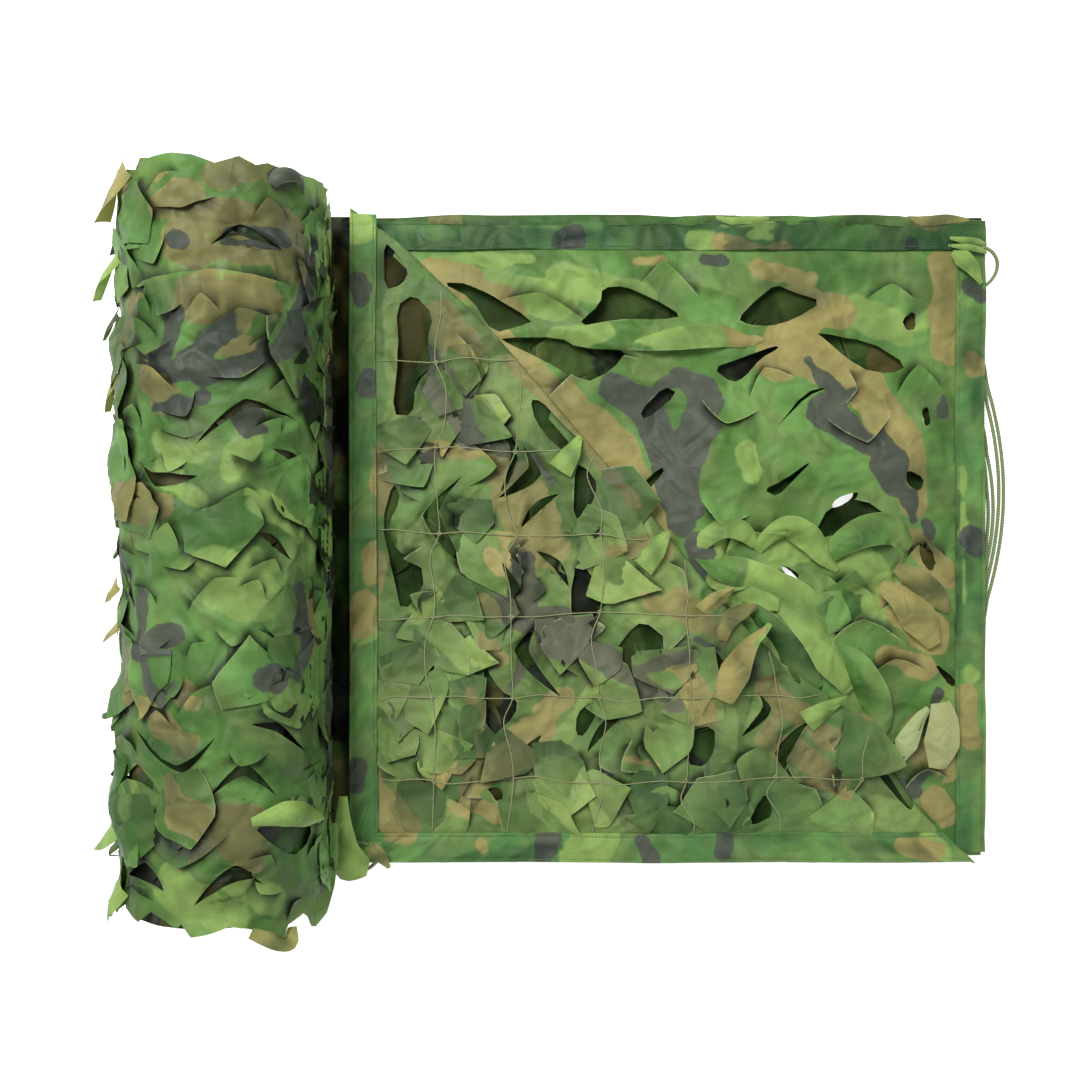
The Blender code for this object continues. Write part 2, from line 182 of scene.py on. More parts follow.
def field_on_mesh(tree, name):
    return add_node(tree, "Attribute", attribute_name=name).outputs["Fac"]


def add_weave(tree, place, spacing, strength, folds):
    """Bump of a plain weave: threads both ways, spacing metres apart, under slight folds."""
    thread = {"Vector": place, "Scale": 0.05 / spacing * 2 * math.pi, "Distortion": 0.6}
    warp, weft = (add_node(tree, "TexWave", thread, bands_direction=way).outputs["Fac"] for way in "XY")
    weave = {"Strength": strength, "Distance": spacing * 0.25, "Height": combined(tree, warp, weft)}
    fine = add_node(tree, "Bump", weave).outputs[0]
    slack = {"Strength": 0.55, "Distance": 0.0030, "Height": folds, "Normal": fine}
    return add_node(tree, "Bump", slack).outputs[0]


def printed_cloth(name, colours, face=1.0, band=False, gloss=0.26):
    """Printed oxford polyester, woven and coated, so thin that light glows through it. The print's
    blotches are fields on the mesh. On the back, with face below 1, they are paler."""
    if name in bpy.data.materials:
        return bpy.data.materials[name]
    material, tree = new_material(name)
    place = place_on_cloth(tree)
    broad = noise_at(tree, place, 9.0, 3.0)
    edge = noise_at(tree, place, 130.0, 2.0)
    crumple = noise_at(tree, place, 46.0, 4.0)
    swirl = add_node(tree, "TexNoise", {"Vector": place, "Scale": 14.0, "Detail": 1.0}).outputs["Color"]
    bend = add_node(tree, "VectorMath", {0: swirl, "Scale": 0.06}, operation="SCALE").outputs[0]
    bent_place = add_node(tree, "VectorMath", {0: place, 1: bend}, operation="ADD").outputs[0]
    cells = {"Vector": bent_place, "Scale": 30.0, "Randomness": 1.0}
    creases = add_node(tree, "TexVoronoi", cells, feature="DISTANCE_TO_EDGE", voronoi_dimensions="2D")
    grain = noise_at(tree, place, 420.0, 1.0)
    back_shade = [0.36 * share for share in (0.86, 0.86, 0.42)]

    def tone(colour, lift=0.0):
        """A print colour, faded towards the pale back of the cloth."""
        return [c * face + (1 - face) * shade + lift for c, shade in zip(colour, back_shade)] + [1.0]

    def blotch(attribute, half_edge):
        """Where a field on the mesh is over 0, with an edge broken up by noise."""
        ragged = ranged(tree, edge, 0.2, 0.8, -0.0007, 0.0007)
        field = combined(tree, field_on_mesh(tree, attribute), ragged, "ADD")
        return ranged(tree, field, -half_edge, half_edge)

    if band:
        ground = mixed(tree, ranged(tree, broad, 0.42, 0.66), tone(colours.band), tone(colours.green))
    else:
        ground = mixed(tree, ranged(tree, broad, 0.44, 0.56), tone(colours.deep), tone(colours.green))
    # The ground turns olive in random patches
    olive_patches = ranged(tree, noise_at(tree, place, 15.0, 2.0), 0.44, 0.60, 0.0, 0.36)
    ground = mixed(tree, olive_patches, ground, tone(colours.olive))
    pale = mixed(tree, blotch("pale", 0.002), ground, tone(colours.light, 0.01))
    earth = mixed(tree, blotch("tan", 0.0014), pale, tone(colours.tan))
    dark = mixed(tree, blotch("dark", 0.0011), earth, tone(colours.dark))
    # Painted shade and light that follow the crumples
    hollows = ranged(tree, crumple, 0.32, 0.68)
    shade = mixed(tree, hollows, (0.88, 0.88, 0.89, 1.0), (1.12, 1.12, 1.11, 1.0))
    speck = mixed(tree, grain, (0.92, 0.92, 0.92, 1.0), (1.08, 1.08, 1.08, 1.0))
    # Each leaf's tone differs at random, bluer and deeper or yellower and paler; the same field carries
    # painted shade and light: darker roots, lighter tips, painted highlights on fold crests, painted shade
    # on hanging lips
    tone_and_shading = ranged(tree, field_on_mesh(tree, "tone_and_shading"), -1.0, 1.0)
    toned = mixed(tree, tone_and_shading, (0.44, 0.52, 0.50, 1.0), (1.58, 1.46, 1.27, 1.0))
    print_tone_and_shading = mixed(tree, 1.0, mixed(tree, 1.0, dark, shade, "MULTIPLY"), toned, "MULTIPLY")
    printed = mixed(tree, 1.0, print_tone_and_shading, speck, "MULTIPLY")
    # The cut edges are pale: partly the cloth's white core, partly a painted highlight on the lips
    rim = ranged(tree, field_on_mesh(tree, "rim"), 0.35, 1.0, 0.0, 0.75)
    edges_and_highlights = mixed(tree, rim, printed, tone(colours.edge))
    # Deep in the folds hardly any light gets in, less than the few turns modelled here keep out
    open_air = field_on_mesh(tree, "open_air")
    colour = mixed(tree, open_air, mixed(tree, 1.0, edges_and_highlights, (0.045, 0.05, 0.028, 1.0), "MULTIPLY"), edges_and_highlights)
    # Real threads are 0.4 mm apart, too fine to show, so the weave is drawn at 2.4 mm
    folds = combined(tree, ranged(tree, creases.outputs["Distance"], 0.0, 0.32), crumple, "ADD")
    surface = {
        "Base Color": colour,
        "Roughness": ranged(tree, crumple, 0.3, 0.7, 0.46, 0.62),
        "IOR": 1.5,
        "Specular IOR Level": gloss,
        "Normal": add_weave(tree, place, 2.4 * MM, 0.10, folds),
    }
    shader = add_node(tree, "BsdfPrincipled", surface)
    lit = mixed(tree, 0.35, colour, (0.42, 0.62, 0.10, 1.0))
    glow = add_node(tree, "BsdfTranslucent", {"Color": lit})
    thin = combined(tree, open_air, 0.20)
    both = add_node(tree, "MixShader", {0: thin, 1: shader.outputs[0], 2: glow.outputs[0]})
    add_node(tree, "OutputMaterial", {"Surface": both.outputs[0]})
    return material


def cord_material(name, colour, lay_pitch, strength):
    """Twisted or braided polyester: strands wound at lay_pitch, with painted shade between them and a
    painted highlight on top.
    """
    material, tree = new_material(name)
    place = place_on_cloth(tree)
    slanted = add_node(tree, "Mapping", {"Vector": place, "Scale": (1 / lay_pitch, 1.0, 1.0)}).outputs[0]
    wound = {"Vector": slanted, "Scale": 0.62, "Distortion": 0.4}
    strands = add_node(tree, "TexWave", wound, bands_direction="DIAGONAL").outputs["Fac"]
    shaded_strands, lit_strands = [c * 0.62 for c in colour], [min(1.0, c * 1.12) for c in colour]
    bump = add_node(tree, "Bump", {"Strength": strength, "Distance": 0.0006, "Height": strands})
    surface = {
        "Base Color": mixed(tree, strands, [*shaded_strands, 1.0], [*lit_strands, 1.0]),
        "Roughness": 0.58,
        "Sheen Weight": 0.2,
        "Specular IOR Level": 0.4,
        "Normal": bump.outputs[0],
    }
    add_surface(tree, surface)
    return material


def floor_material(colour):
    """Matt white card, lit from below as well, so that it stays plain."""
    material, tree = new_material("Matt white card")
    grain = noise_at(tree, add_node(tree, "TexCoord").outputs["Object"], 60.0, 2.0)
    surface = {
        "Base Color": mixed(tree, grain, [*[c * 0.995 for c in colour], 1.0], [*colour, 1.0]),
        "Roughness": 0.9,
        "Specular IOR Level": 0.1,
        "Emission Color": (1.0, 1.0, 1.0, 1.0),
        "Emission Strength": 0.75,
    }
    add_surface(tree, surface)
    return material


# ---------------------------------------------------------------- cloth


def clamped(values):
    return np.clip(values, 0.0, 1.0)


def soft_noise(points, swing, seed):
    """Smooth noise from -1 to 1 at flat points, one swing every so many metres."""
    lattice = np.random.default_rng(seed).uniform(-1.0, 1.0, (64, 64))
    spots = points / np.asarray(swing) + 0.37 * seed
    cell = np.floor(spots).astype(int)
    part = spots - cell
    part = part**3 * (part * (part * 6 - 15) + 10)
    i, j = cell[:, 0] % 64, cell[:, 1] % 64
    k, m = (i + 1) % 64, (j + 1) % 64
    u, v = part[:, 0], part[:, 1]
    low = lattice[i, j] * (1 - u) + lattice[k, j] * u
    high = lattice[i, m] * (1 - u) + lattice[k, m] * u
    return low * (1 - v) + high * v


def segment_distance(points, start, end):
    """Distance of each point to a straight piece of line."""
    start, end = np.asarray(start), np.asarray(end)
    line = end - start
    share = clamped((points - start) @ line / max(1e-12, line @ line))
    return np.linalg.norm(points - start - share[:, None] * line, axis=1)


def line_distance(points, line):
    return np.min([segment_distance(points, a, b) for a, b in zip(line, line[1:])], axis=0)


def outline_distance(points, outline):
    return line_distance(points, [*outline, outline[0]])


def inside(points, outline):
    """Which points lie inside an outline."""
    found = np.zeros(len(points), bool)
    for (ax, ay), (bx, by) in zip(outline, [*outline[1:], outline[0]]):
        if ay == by:
            continue
        crosses = (points[:, 1] > min(ay, by)) & (points[:, 1] <= max(ay, by))
        at = ax + (points[:, 1] - ay) * (bx - ax) / (by - ay)
        found ^= crosses & (points[:, 0] < at)
    return found


def rounded(outline):
    """The outline with its corners taken off."""
    ring = [np.array(p) for p in outline]
    fine = []
    for a, b in zip(ring, [*ring[1:], ring[0]]):
        fine += [tuple(0.78 * a + 0.22 * b), tuple(0.22 * a + 0.78 * b)]
    return fine


def divided(line, step, closed):
    """Points a step apart on a line of points."""
    ends = [*line[1:], line[0]] if closed else line[1:]
    fine = []
    for (ax, ay), (bx, by) in zip(line, ends):
        count = max(1, round(math.hypot(ax - bx, ay - by) / step))
        fine += [(ax + (bx - ax) * n / count, ay + (by - ay) * n / count) for n in range(count)]
    return fine if closed else [*fine, tuple(line[-1])]


def cut_frame(cut):
    """The cut's chord and bow: its start, unit vectors along it and towards its apex, the chord's length,
    the apex's height over it, and where on the chord that is, as a share."""
    start, apex, end = np.array([[cut.x0, cut.y0], [cut.xa, cut.ya], [cut.x1, cut.y1]])
    length = np.linalg.norm(end - start)
    along = (end - start) / length
    towards = np.array([-along[1], along[0]])
    depth = (apex - start) @ towards
    if depth < 0:
        towards, depth = -towards, -depth
    peak = np.clip((apex - start) @ along / length, 0.15, 0.85)
    return start, along, towards, length, max(depth, 0.003), peak


def cut_depth(share, depth, peak):
    """How far the cut bows out at a share of its chord."""
    leg = clamped(np.where(share < peak, share / peak, (1 - share) / (1 - peak)))
    return depth * (0.40 * np.sin(leg * math.pi / 2) + 0.60 * leg)


def cut_line(cut, step):
    start, along, towards, length, depth, peak = cut_frame(cut)
    count = max(6, round((length + depth) / step))
    shares = np.linspace(0.0, 1.0, count + 1)
    offsets = cut_depth(shares, depth, peak)
    return [tuple(start + along * length * s + towards * o) for s, o in zip(shares, offsets)]


class Cloth:
    """A flat sheet of cloth with its cuts and holes: its points, its triangles, and for a point of a lip,
    which cut it is on and on which side."""

    def __init__(self, outline, cuts, holes, spacing, seed, folds=()):
        self.cuts, self.holes, self.folds = cuts, [rounded(h) for h in holes], folds
        rng = np.random.default_rng(seed)
        edges_at = [divided(outline, spacing, True)]
        edges_at += [divided(h, spacing * 0.8, True) for h in self.holes]
        lines = [cut_line(c, spacing * 0.8) for c in cuts]
        fold_lines = [divided(f, spacing * 0.7, False) for f in folds]
        fixed = np.array([p for ring in (*edges_at, *lines, *fold_lines) for p in ring])
        low, high = fixed.min(axis=0), fixed.max(axis=0)
        rows = np.arange(low[1], high[1], spacing * 0.866)
        columns = np.arange(low[0], high[0], spacing)
        grid = np.array([(x + (n % 2) * spacing / 2, y) for n, y in enumerate(rows) for x in columns])
        grid += rng.uniform(-0.22, 0.22, grid.shape) * spacing
        keep = inside(grid, outline)
        for hole in self.holes:
            keep &= ~inside(grid, hole)
        grid = grid[keep]
        tree = kdtree.KDTree(len(fixed))
        for n, point in enumerate(fixed):
            tree.insert((*point, 0.0), n)
        tree.balance()
        far = [tree.find((*p, 0.0))[2] > spacing * 0.5 for p in grid]
        grid = grid[np.array(far)]
        self._triangulate(fixed, grid, edges_at, lines, fold_lines)

    def _triangulate(self, fixed, grid, rings, lines, fold_lines):
        edges, starts, first = [], [], 0
        for ring in rings:
            edges += [(first + n, first + (n + 1) % len(ring)) for n in range(len(ring))]
            first += len(ring)
        for line in (*lines, *fold_lines):
            starts.append(first)
            edges += [(first + n, first + n + 1) for n in range(len(line) - 1)]
            first += len(line)
        points = [Vector(p) for p in (*fixed, *grid)]
        verts, _, faces, origins, _, _ = delaunay_2d_cdt(points, edges, [], 0, 1e-7)
        where = {origin: n for n, found in enumerate(origins) for origin in found}
        points = np.array([tuple(v) for v in verts])
        faces = np.array(faces)
        middle = points[faces].mean(axis=1)
        keep = inside(middle, [tuple(points[where[n]]) for n in range(len(rings[0]))])
        for hole in self.holes:
            keep &= ~inside(middle, hole)
        faces = faces[keep]
        touching = {}
        for n, face in enumerate(faces):
            for v in face:
                touching.setdefault(int(v), []).append(n)
        self.lip_of = {}
        extra = []
        for k, (start, line) in enumerate(zip(starts, lines)):
            chain = [where[start + n] for n in range(len(line))]
            for before, at, after in zip(chain, chain[1:], chain[2:]):
                if at in self.lip_of:
                    continue
                here = points[at]
                ahead = math.atan2(*(points[after] - here)[::-1])
                back = (math.atan2(*(points[before] - here)[::-1]) - ahead) % (2 * math.pi)
                copy = len(points) + len(extra)
                used = False
                for n in touching.get(at, ()):
                    centre = points[[v if v < len(points) else at for v in faces[n]]].mean(axis=0) - here
                    bearing = (math.atan2(centre[1], centre[0]) - ahead) % (2 * math.pi)
                    if bearing < back:
                        faces[n][faces[n] == at] = copy
                        used = True
                if used:
                    extra.append(here)
                    self.lip_of[at] = (k, -1)
                    self.lip_of[copy] = (k, 1)
        self.flat = np.array([*points, *extra])
        self.faces = faces
        self._drop_unused()

    def _drop_unused(self):
        used = np.unique(self.faces)
        new = np.full(len(self.flat), -1)
        new[used] = np.arange(len(used))
        self.flat = self.flat[used]
        self.faces = new[self.faces]
        lips = {int(new[v]): lip for v, lip in self.lip_of.items() if new[v] >= 0}
        self.lip_cut = np.full(len(self.flat), -1)
        self.lip_side = np.zeros(len(self.flat))
        for v, (k, side) in lips.items():
            self.lip_cut[v], self.lip_side[v] = k, side
        self.mark(len(self.cuts))

    def _around(self, k, cut, reach):
        """The points round a cut: their places along its chord and out from it, and its edge there; which
        lie on its tongue, and which on the cloth outside."""
        start, along, towards, length, depth, peak = cut_frame(cut)
        middle = start + along * length / 2
        near = np.flatnonzero(np.linalg.norm(self.flat - middle, axis=1) < length / 2 + reach + depth)
        rel = self.flat[near] - start
        share, out = rel @ along / length, rel @ towards
        edge = cut_depth(clamped(share), depth, peak)
        left_is_out = 1.0 if along[0] * towards[1] - along[1] * towards[0] > 0 else -1.0
        beyond = np.where(self.lip_cut[near] == k, self.lip_side[near] * left_is_out > 0, out > edge)
        within = (share > 0) & (share < 1)
        return near, share, out, edge, within & ~beyond & (out > 0), within & beyond

    def mark(self, seed):
        """Where the print is taken from, as its leaves have slipped from their places; the pale cut edges,
        partly a painted highlight; each tongue's own random tone, with painted shade towards its chord and
        painted light towards its tip; and .shut, 1 where a leaf that overlaps its neighbour keeps the
        light out."""
        rng = np.random.default_rng(seed)
        self.print = self.flat.copy()
        self.rim = np.zeros(len(self.flat))
        self.shut = np.zeros(len(self.flat))
        self.tone_and_shading = 0.35 * soft_noise(self.flat, 0.07, seed + 3)
        for k, cut in enumerate(self.cuts):
            _, along, towards, _, depth, _ = cut_frame(cut)
            near, share, out, edge, tongue, outer = self._around(k, cut, 0.02)
            slip = rng.uniform(-0.022, 0.022) * along + rng.uniform(-0.024, 0.006) * towards
            self.print[near] += np.where(tongue, out / depth, 0.0)[:, None] * slip
            # Its own random tone, with painted shade towards the chord and painted light towards the tip
            own_tint = rng.uniform(-0.8, 0.9)
            blend = np.where(tongue, clamped(out / depth * 1.8), 0.0)
            tongue_tone_and_shading = own_tint + 0.5 * (out / depth - 0.5)
            self.tone_and_shading[near] = self.tone_and_shading[near] * (1 - blend) + tongue_tone_and_shading * blend
            pale = rng.uniform(0.3, 1.0)
            own = self.lip_cut[near] == k
            self.rim[near[own & tongue]] = pale
            if cut.gap < 0:
                swell = np.sin(math.pi * clamped(share))
                under = clamped(1.3 - (out - edge) / (0.0045 - 1.4 * cut.gap)) * clamped(3 * swell)
                self.shut[near] = np.maximum(self.shut[near], np.where(outer, under, 0.0))
            else:
                self.rim[near[own & outer]] = pale * 0.5

    def open_cuts(self, reach):
        """The shift of each point, in the sheet and out of it, as its cuts open and their tongues curl. A
        cut whose gap is below zero doesn't gape: its tongue lies over the cloth outside."""
        shift = np.zeros((len(self.flat), 3))
        for k, cut in enumerate(self.cuts):
            _, _, towards, _, depth, _ = cut_frame(cut)
            near, share, out, edge, tongue, outer = self._around(k, cut, reach)
            if not len(near):
                continue
            swell = np.sin(math.pi * clamped(share))
            # The tongue turns up about the chord, more at one corner than at the other
            lean = 1.0 + 1.1 * math.sin(7.3 * k + 1.0) * (share - 0.5)
            angle = max(0.05, abs(cut.curl)) * np.clip(lean, 0.3, 1.7)
            turned = np.sin(angle * out / depth) * depth / angle
            risen = (1 - np.cos(angle * out / depth)) * depth / angle
            side = math.copysign(1.0, cut.curl)
            lap = max(0.0, -cut.gap)
            gap = max(0.0, cut.gap)
            move = np.where(tongue, turned - out - 0.4 * gap * swell + lap * out / depth, 0.0)
            curled = side * risen * (1.0 if side > 0 else 0.35)
            lift = np.where(tongue, curled + 0.35 * lap * out / depth, 0.0)
            # The cloth outside is pulled back, its lip sunk under a raised tongue
            fade = clamped(1 - (out - edge) / reach) ** 2 * swell**0.8
            move = np.where(outer, (gap - 0.4 * lap) * fade, move)
            lift = np.where(outer, -side * (0.001 + 1.2 * gap + 0.35 * lap) * fade, lift)
            shift[near, :2] += move[:, None] * towards
            shift[near, 2] += lift
        return shift

    def draw_folds(self, heights):
        """The rise along its tight folds, with a painted highlight along their crests."""
        rise = np.zeros(len(self.flat))
        for fold, height in zip(self.folds, heights):
            away = line_distance(self.flat, fold)
            rise += height * np.exp(-away / 0.008)
            # Painted highlight along the crest
            self.tone_and_shading += 0.6 * np.exp(-away / 0.009)
        return rise

    def lift_hole_lips(self, tilts):
        """The rise of the cloth round its holes: one lip of each stands up, and the other hangs."""
        rise = np.zeros(len(self.flat))
        for hole, (bearing, height) in zip(self.holes, tilts):
            centre = np.mean(hole, axis=0)
            size = max(math.dist(p, centre) for p in hole)
            near = np.flatnonzero(np.linalg.norm(self.flat - centre, axis=1) < size + 0.035)
            away = outline_distance(self.flat[near], hole)
            rel = self.flat[near] - centre
            facing = np.cos(np.arctan2(rel[:, 1], rel[:, 0]) - math.radians(bearing))
            rise[near] += height * facing * np.exp(-away / 0.014)
            # The standing lip's edge is pale: the cut edge, with a painted highlight where it stands up
            on_edge = away < 1e-5
            self.rim[near[on_edge]] = 0.8 * clamped(facing[on_edge])
            # The hanging lip is shaded by the one that stands
            self.tone_and_shading[near] -= 0.9 * clamped(-facing) * np.exp(-away / 0.012)
        return rise


class Leaves:
    """Pointed leaves of the cloth, each held at its root and lying over its neighbours: .flat is where
    each point lies, .print where its print is taken from, and .rise how far it stands off."""

    ALONG = np.array([0.0, 0.14, 0.28, 0.42, 0.54, 0.66, 0.77, 0.87, 0.955, 1.0])[:, None]
    ACROSS = np.array([-1.0, -0.93, -0.62, -0.3, 0.0, 0.3, 0.62, 0.93, 1.0])
    GAP_REACH = 0.008

    def __init__(self, spots, size, lift, seed, stir=1.0):
        """spots are rows of a root's place and the leaf's bearing in radians; stir is how much each of
        them differs from the cloth it lies on."""
        rng = np.random.default_rng(seed)
        count = len(spots)
        stir = np.broadcast_to(stir, count)[:, None, None]

        def each(low, high):
            return rng.uniform(low, high, count)[:, None, None]

        x, y, bearing = (np.asarray(spots, float).T)[:, :, None, None]
        length, width = size[0] * each(0.72, 1.3), size[1] * each(0.72, 1.25)
        shoulder = each(0.30, 0.66)
        wide = clamped((1 - self.ALONG) / (1 - shoulder)) ** each(0.75, 1.1) + 0.015
        wide = wide * (1 + 0.12 * np.sin(math.pi * self.ALONG))
        swing = each(-0.30, 0.30) * np.maximum(0.0, self.ALONG - 0.3) ** 1.3
        ahead = self.ALONG * length
        aside = (self.ACROSS * wide / 2 + swing) * width
        east, north = np.cos(bearing), np.sin(bearing)
        spread = [x + ahead * east - aside * north, y + ahead * north + aside * east]
        self.flat = np.stack(spread, axis=-1).reshape(-1, 2)
        rise = 0.0006 + lift * stir * each(0.35, 1.4) * self.ALONG ** each(0.9, 1.8)
        rise = rise + stir * each(-0.16, 0.16) * self.ACROSS * wide * width / 2 * (0.4 + 0.6 * self.ALONG)
        rise = rise + each(-0.02, 0.13) * (1 - self.ACROSS**2) * wide * width / 2
        crease = each(-0.8, 0.8) + each(-0.8, 0.8) * self.ALONG
        rise = rise + each(0.0, 0.0022) * np.exp(-(((self.ACROSS - crease) / 0.22) ** 2))
        self.rise = rise.reshape(-1) + 0.0008 * soft_noise(self.flat, (0.018, 0.018), seed + 1)
        slip = stir * np.concatenate([each(-0.011, 0.011), each(-0.011, 0.011)], axis=-1)
        rows, columns = len(self.ALONG), len(self.ACROSS)
        self.print = (self.flat.reshape(count, rows, columns, 2) + slip[:, :, None, :]).reshape(-1, 2)
        # Each leaf's own random tone, with painted shade towards its root and painted light towards its
        # tip
        self.tone_and_shading = (stir * (each(-0.85, 0.85) + 0.9 * (self.ALONG - 0.55)) + 0 * self.ACROSS).reshape(-1)
        # Pale edges, partly the cut edge and partly a painted highlight
        at_edge = (np.abs(self.ACROSS) == 1) | (self.ALONG == 1)
        self.rim = (at_edge * each(0.15, 1.0)).reshape(-1)
        one = swept(rows, columns)
        self.faces = np.concatenate([one + n * rows * columns for n in range(count)])
        self.roots = np.arange(count) * rows * columns
        self.total_length = float(length.sum())
        self.area = float((length * width * wide.mean(axis=1)[:, None]).sum())
        self.width = self.area / self.total_length * 1.6

    def gaps_below(self, flat):
        """1 where the cloth under their tips is open, so that no light comes back, and 0 elsewhere."""
        grid = self.flat.reshape(len(self.roots), len(self.ALONG), len(self.ACROSS), 2)
        gap = np.zeros(len(flat))
        for leaf in grid:
            ring = np.array([*leaf[3:, 0], leaf[-1, 4], *leaf[3:, -1][::-1]])
            low, high = ring.min(axis=0) - self.GAP_REACH, ring.max(axis=0) + self.GAP_REACH
            near = np.flatnonzero(np.all((flat > low) & (flat < high), axis=1))
            past = np.where(inside(flat[near], ring), 0.0, outline_distance(flat[near], ring))
            gap[near] = np.maximum(gap[near], clamped(1.25 - 1.25 * past / self.GAP_REACH))
        return gap


def joined(parts):
    """Several meshes' points, faces and UVs as one."""
    points, faces, flats, count = [], [], [], 0
    for some, these, flat in parts:
        points.append(some)
        faces += (np.asarray(these) + count).tolist()
        flats.append(flat)
        count += len(some)
    return np.concatenate(points), faces, np.concatenate(flats)


def unit(rows):
    """Each row as a unit vector."""
    return rows / np.maximum(1e-9, np.linalg.norm(rows, axis=1))[:, None]


def run_along(route):
    """How far along the route each of its points is."""
    return np.concatenate([[0.0], np.cumsum(np.linalg.norm(np.diff(route, axis=0), axis=1))])


def resampled(route, step):
    """A route's points again, evenly spaced."""
    route = np.asarray(route, float)
    place = run_along(route)
    count = max(2, round(place[-1] / step))
    at = np.linspace(0.0, place[-1], count + 1)
    return np.column_stack([np.interp(at, place, route[:, k]) for k in range(3)])


def smooth_route(corners, step):
    """A smooth line through the corners."""
    corners = [np.array(c, float) for c in corners]
    ends = [2 * corners[0] - corners[1], *corners, 2 * corners[-1] - corners[-2]]
    points = []
    for a, b, c, d in zip(ends, ends[1:], ends[2:], ends[3:]):
        count = max(2, math.ceil(np.linalg.norm(c - b) / step))
        for t in np.arange(count) / count:
            bend, twist = 2 * a - 5 * b + 4 * c - d, 3 * b - a - 3 * c + d
            points.append(0.5 * (2 * b + (c - a) * t + bend * t**2 + twist * t**3))
    return [*points, corners[-1]]


STRIP_ACROSS = np.array([-1.0, -0.95, -0.75, -0.5, -0.25, 0.0, 0.25, 0.5, 0.75, 0.95, 1.0])


def leaf_strip(stations, outward=None):
    """Points, faces and flat places of one long leaf that twists: stations are rows of a place in space,
    the width there, and the tilt in degrees. outward gives the way out from under it, when not up."""
    rows = np.array(stations, float)
    reach = run_along(rows[:, :3])
    line = resampled(smooth_route(rows[:, :3], 0.004), 0.004)
    ahead = unit(np.gradient(line, axis=0))
    at = np.linspace(0.0, reach[-1], len(line))
    half = np.interp(at, reach, rows[:, 3])[:, None] / 2
    tilt = np.radians(np.interp(at, reach, rows[:, 4]))[:, None]
    side = unit(np.cross(ahead, outward(line) if outward else (0.0, 0.0, 1.0)))
    up = np.cross(side, ahead)
    over, normal = side * np.cos(tilt) + up * np.sin(tilt), up * np.cos(tilt) - side * np.sin(tilt)
    flat = np.stack([at[:, None] + 0 * STRIP_ACROSS, half * STRIP_ACROSS], axis=-1)
    bow = 0.30 * half * (1 - STRIP_ACROSS**2)
    seed = round(1e4 * rows[0, 3])
    bow = bow + 0.0012 * soft_noise(flat.reshape(-1, 2), (0.05, 0.007), seed).reshape(bow.shape)
    points = line[:, None] + over[:, None] * flat[:, :, 1:] + normal[:, None] * bow[:, :, None]
    return points.reshape(-1, 3), swept(len(line), len(STRIP_ACROSS)), flat.reshape(-1, 2)


def ways(spots):
    """The way each leaf points, from its root's row."""
    return np.column_stack([np.cos(spots[:, 2]), np.sin(spots[:, 2])])


def leaf_spots(low, high, across, along, bearings, seed, allowed):
    """Roots of leaves in staggered rows, each with one of the bearings in degrees."""
    rng = np.random.default_rng(seed)
    spots = []
    for j in range(round((high[1] - low[1]) / along)):
        for i in range(round((high[0] - low[0]) / across)):
            x = low[0] + (i + 0.5 * (j % 2) + rng.uniform(0.1, 0.9)) * across
            y = high[1] - (j + rng.uniform(0.1, 0.9)) * along
            spots.append((x, y, math.radians(rng.choice(bearings) + rng.uniform(-24, 24))))
    spots = np.array(spots)
    return spots[allowed(spots)]


def blotch_field(flat, blotches, seed):
    """Field over 0 inside the blotches, in metres from their edge, with wandering outlines."""
    reach = [radius - segment_distance(flat, (ax, ay), (bx, by)) for ax, ay, bx, by, radius in blotches]
    wander = 0.0045 * soft_noise(flat, 0.030, seed) + 0.002 * soft_noise(flat, 0.011, seed + 1)
    return np.max(reach, axis=0) + wander


def random_field(flat, swing, level, seed):
    """Field of blotches where the print isn't listed."""
    fine = soft_noise(flat, (swing[0] * 0.4, swing[1] * 0.4), seed + 3)
    return (soft_noise(flat, swing, seed) + 0.4 * fine - level) * swing[0] * 0.3


def knot_pinches(flat, knots, seed, depth):
    """Cloth drawn down at the twine's ties, with short creases that radiate from them."""
    rise = np.zeros(len(flat))
    rng = np.random.default_rng(seed)
    for x, y in knots:
        rel = flat - (x, y)
        away = np.hypot(rel[:, 0], rel[:, 1])
        near = np.flatnonzero(away < 0.07)
        bearing = np.arctan2(rel[near, 1], rel[near, 0])
        folds = rng.integers(4, 7)
        phase = rng.uniform(0, 2 * math.pi)
        r = away[near]
        rays = np.abs(np.cos(bearing * folds / 2 + phase + 6 * soft_noise(flat[near], 0.05, 9))) ** 3
        rise[near] -= depth * np.exp(-((r / 0.016) ** 2))
        rise[near] += 0.0032 * rays * (r / 0.012) * np.exp(-r / 0.014)
    return rise


def crumple(flat, seed, height):
    """Soft creases of folded cloth: thin ridges and hollows that cross at all angles."""
    rise = np.zeros(len(flat))
    stray = np.column_stack([soft_noise(flat, 0.09, seed + 7), soft_noise(flat, 0.09, seed + 8)])
    swings = ((0.075, 0.038), (0.030, 0.060), (0.026, 0.020), (0.012, 0.018))
    for n, (swing, share) in enumerate(zip(swings, (1.0, 0.8, 0.45, 0.16))):
        angle = 0.9 * n + 0.5 + 0.31 * seed
        turn = np.array([[math.cos(angle), -math.sin(angle)], [math.sin(angle), math.cos(angle)]])
        noise = soft_noise((flat + 0.02 * stray) @ turn, swing, seed + n)
        ridge = (1 - np.abs(noise)) ** 2.5
        rise += share * height * (ridge - 0.4 + 0.5 * noise)
    return rise


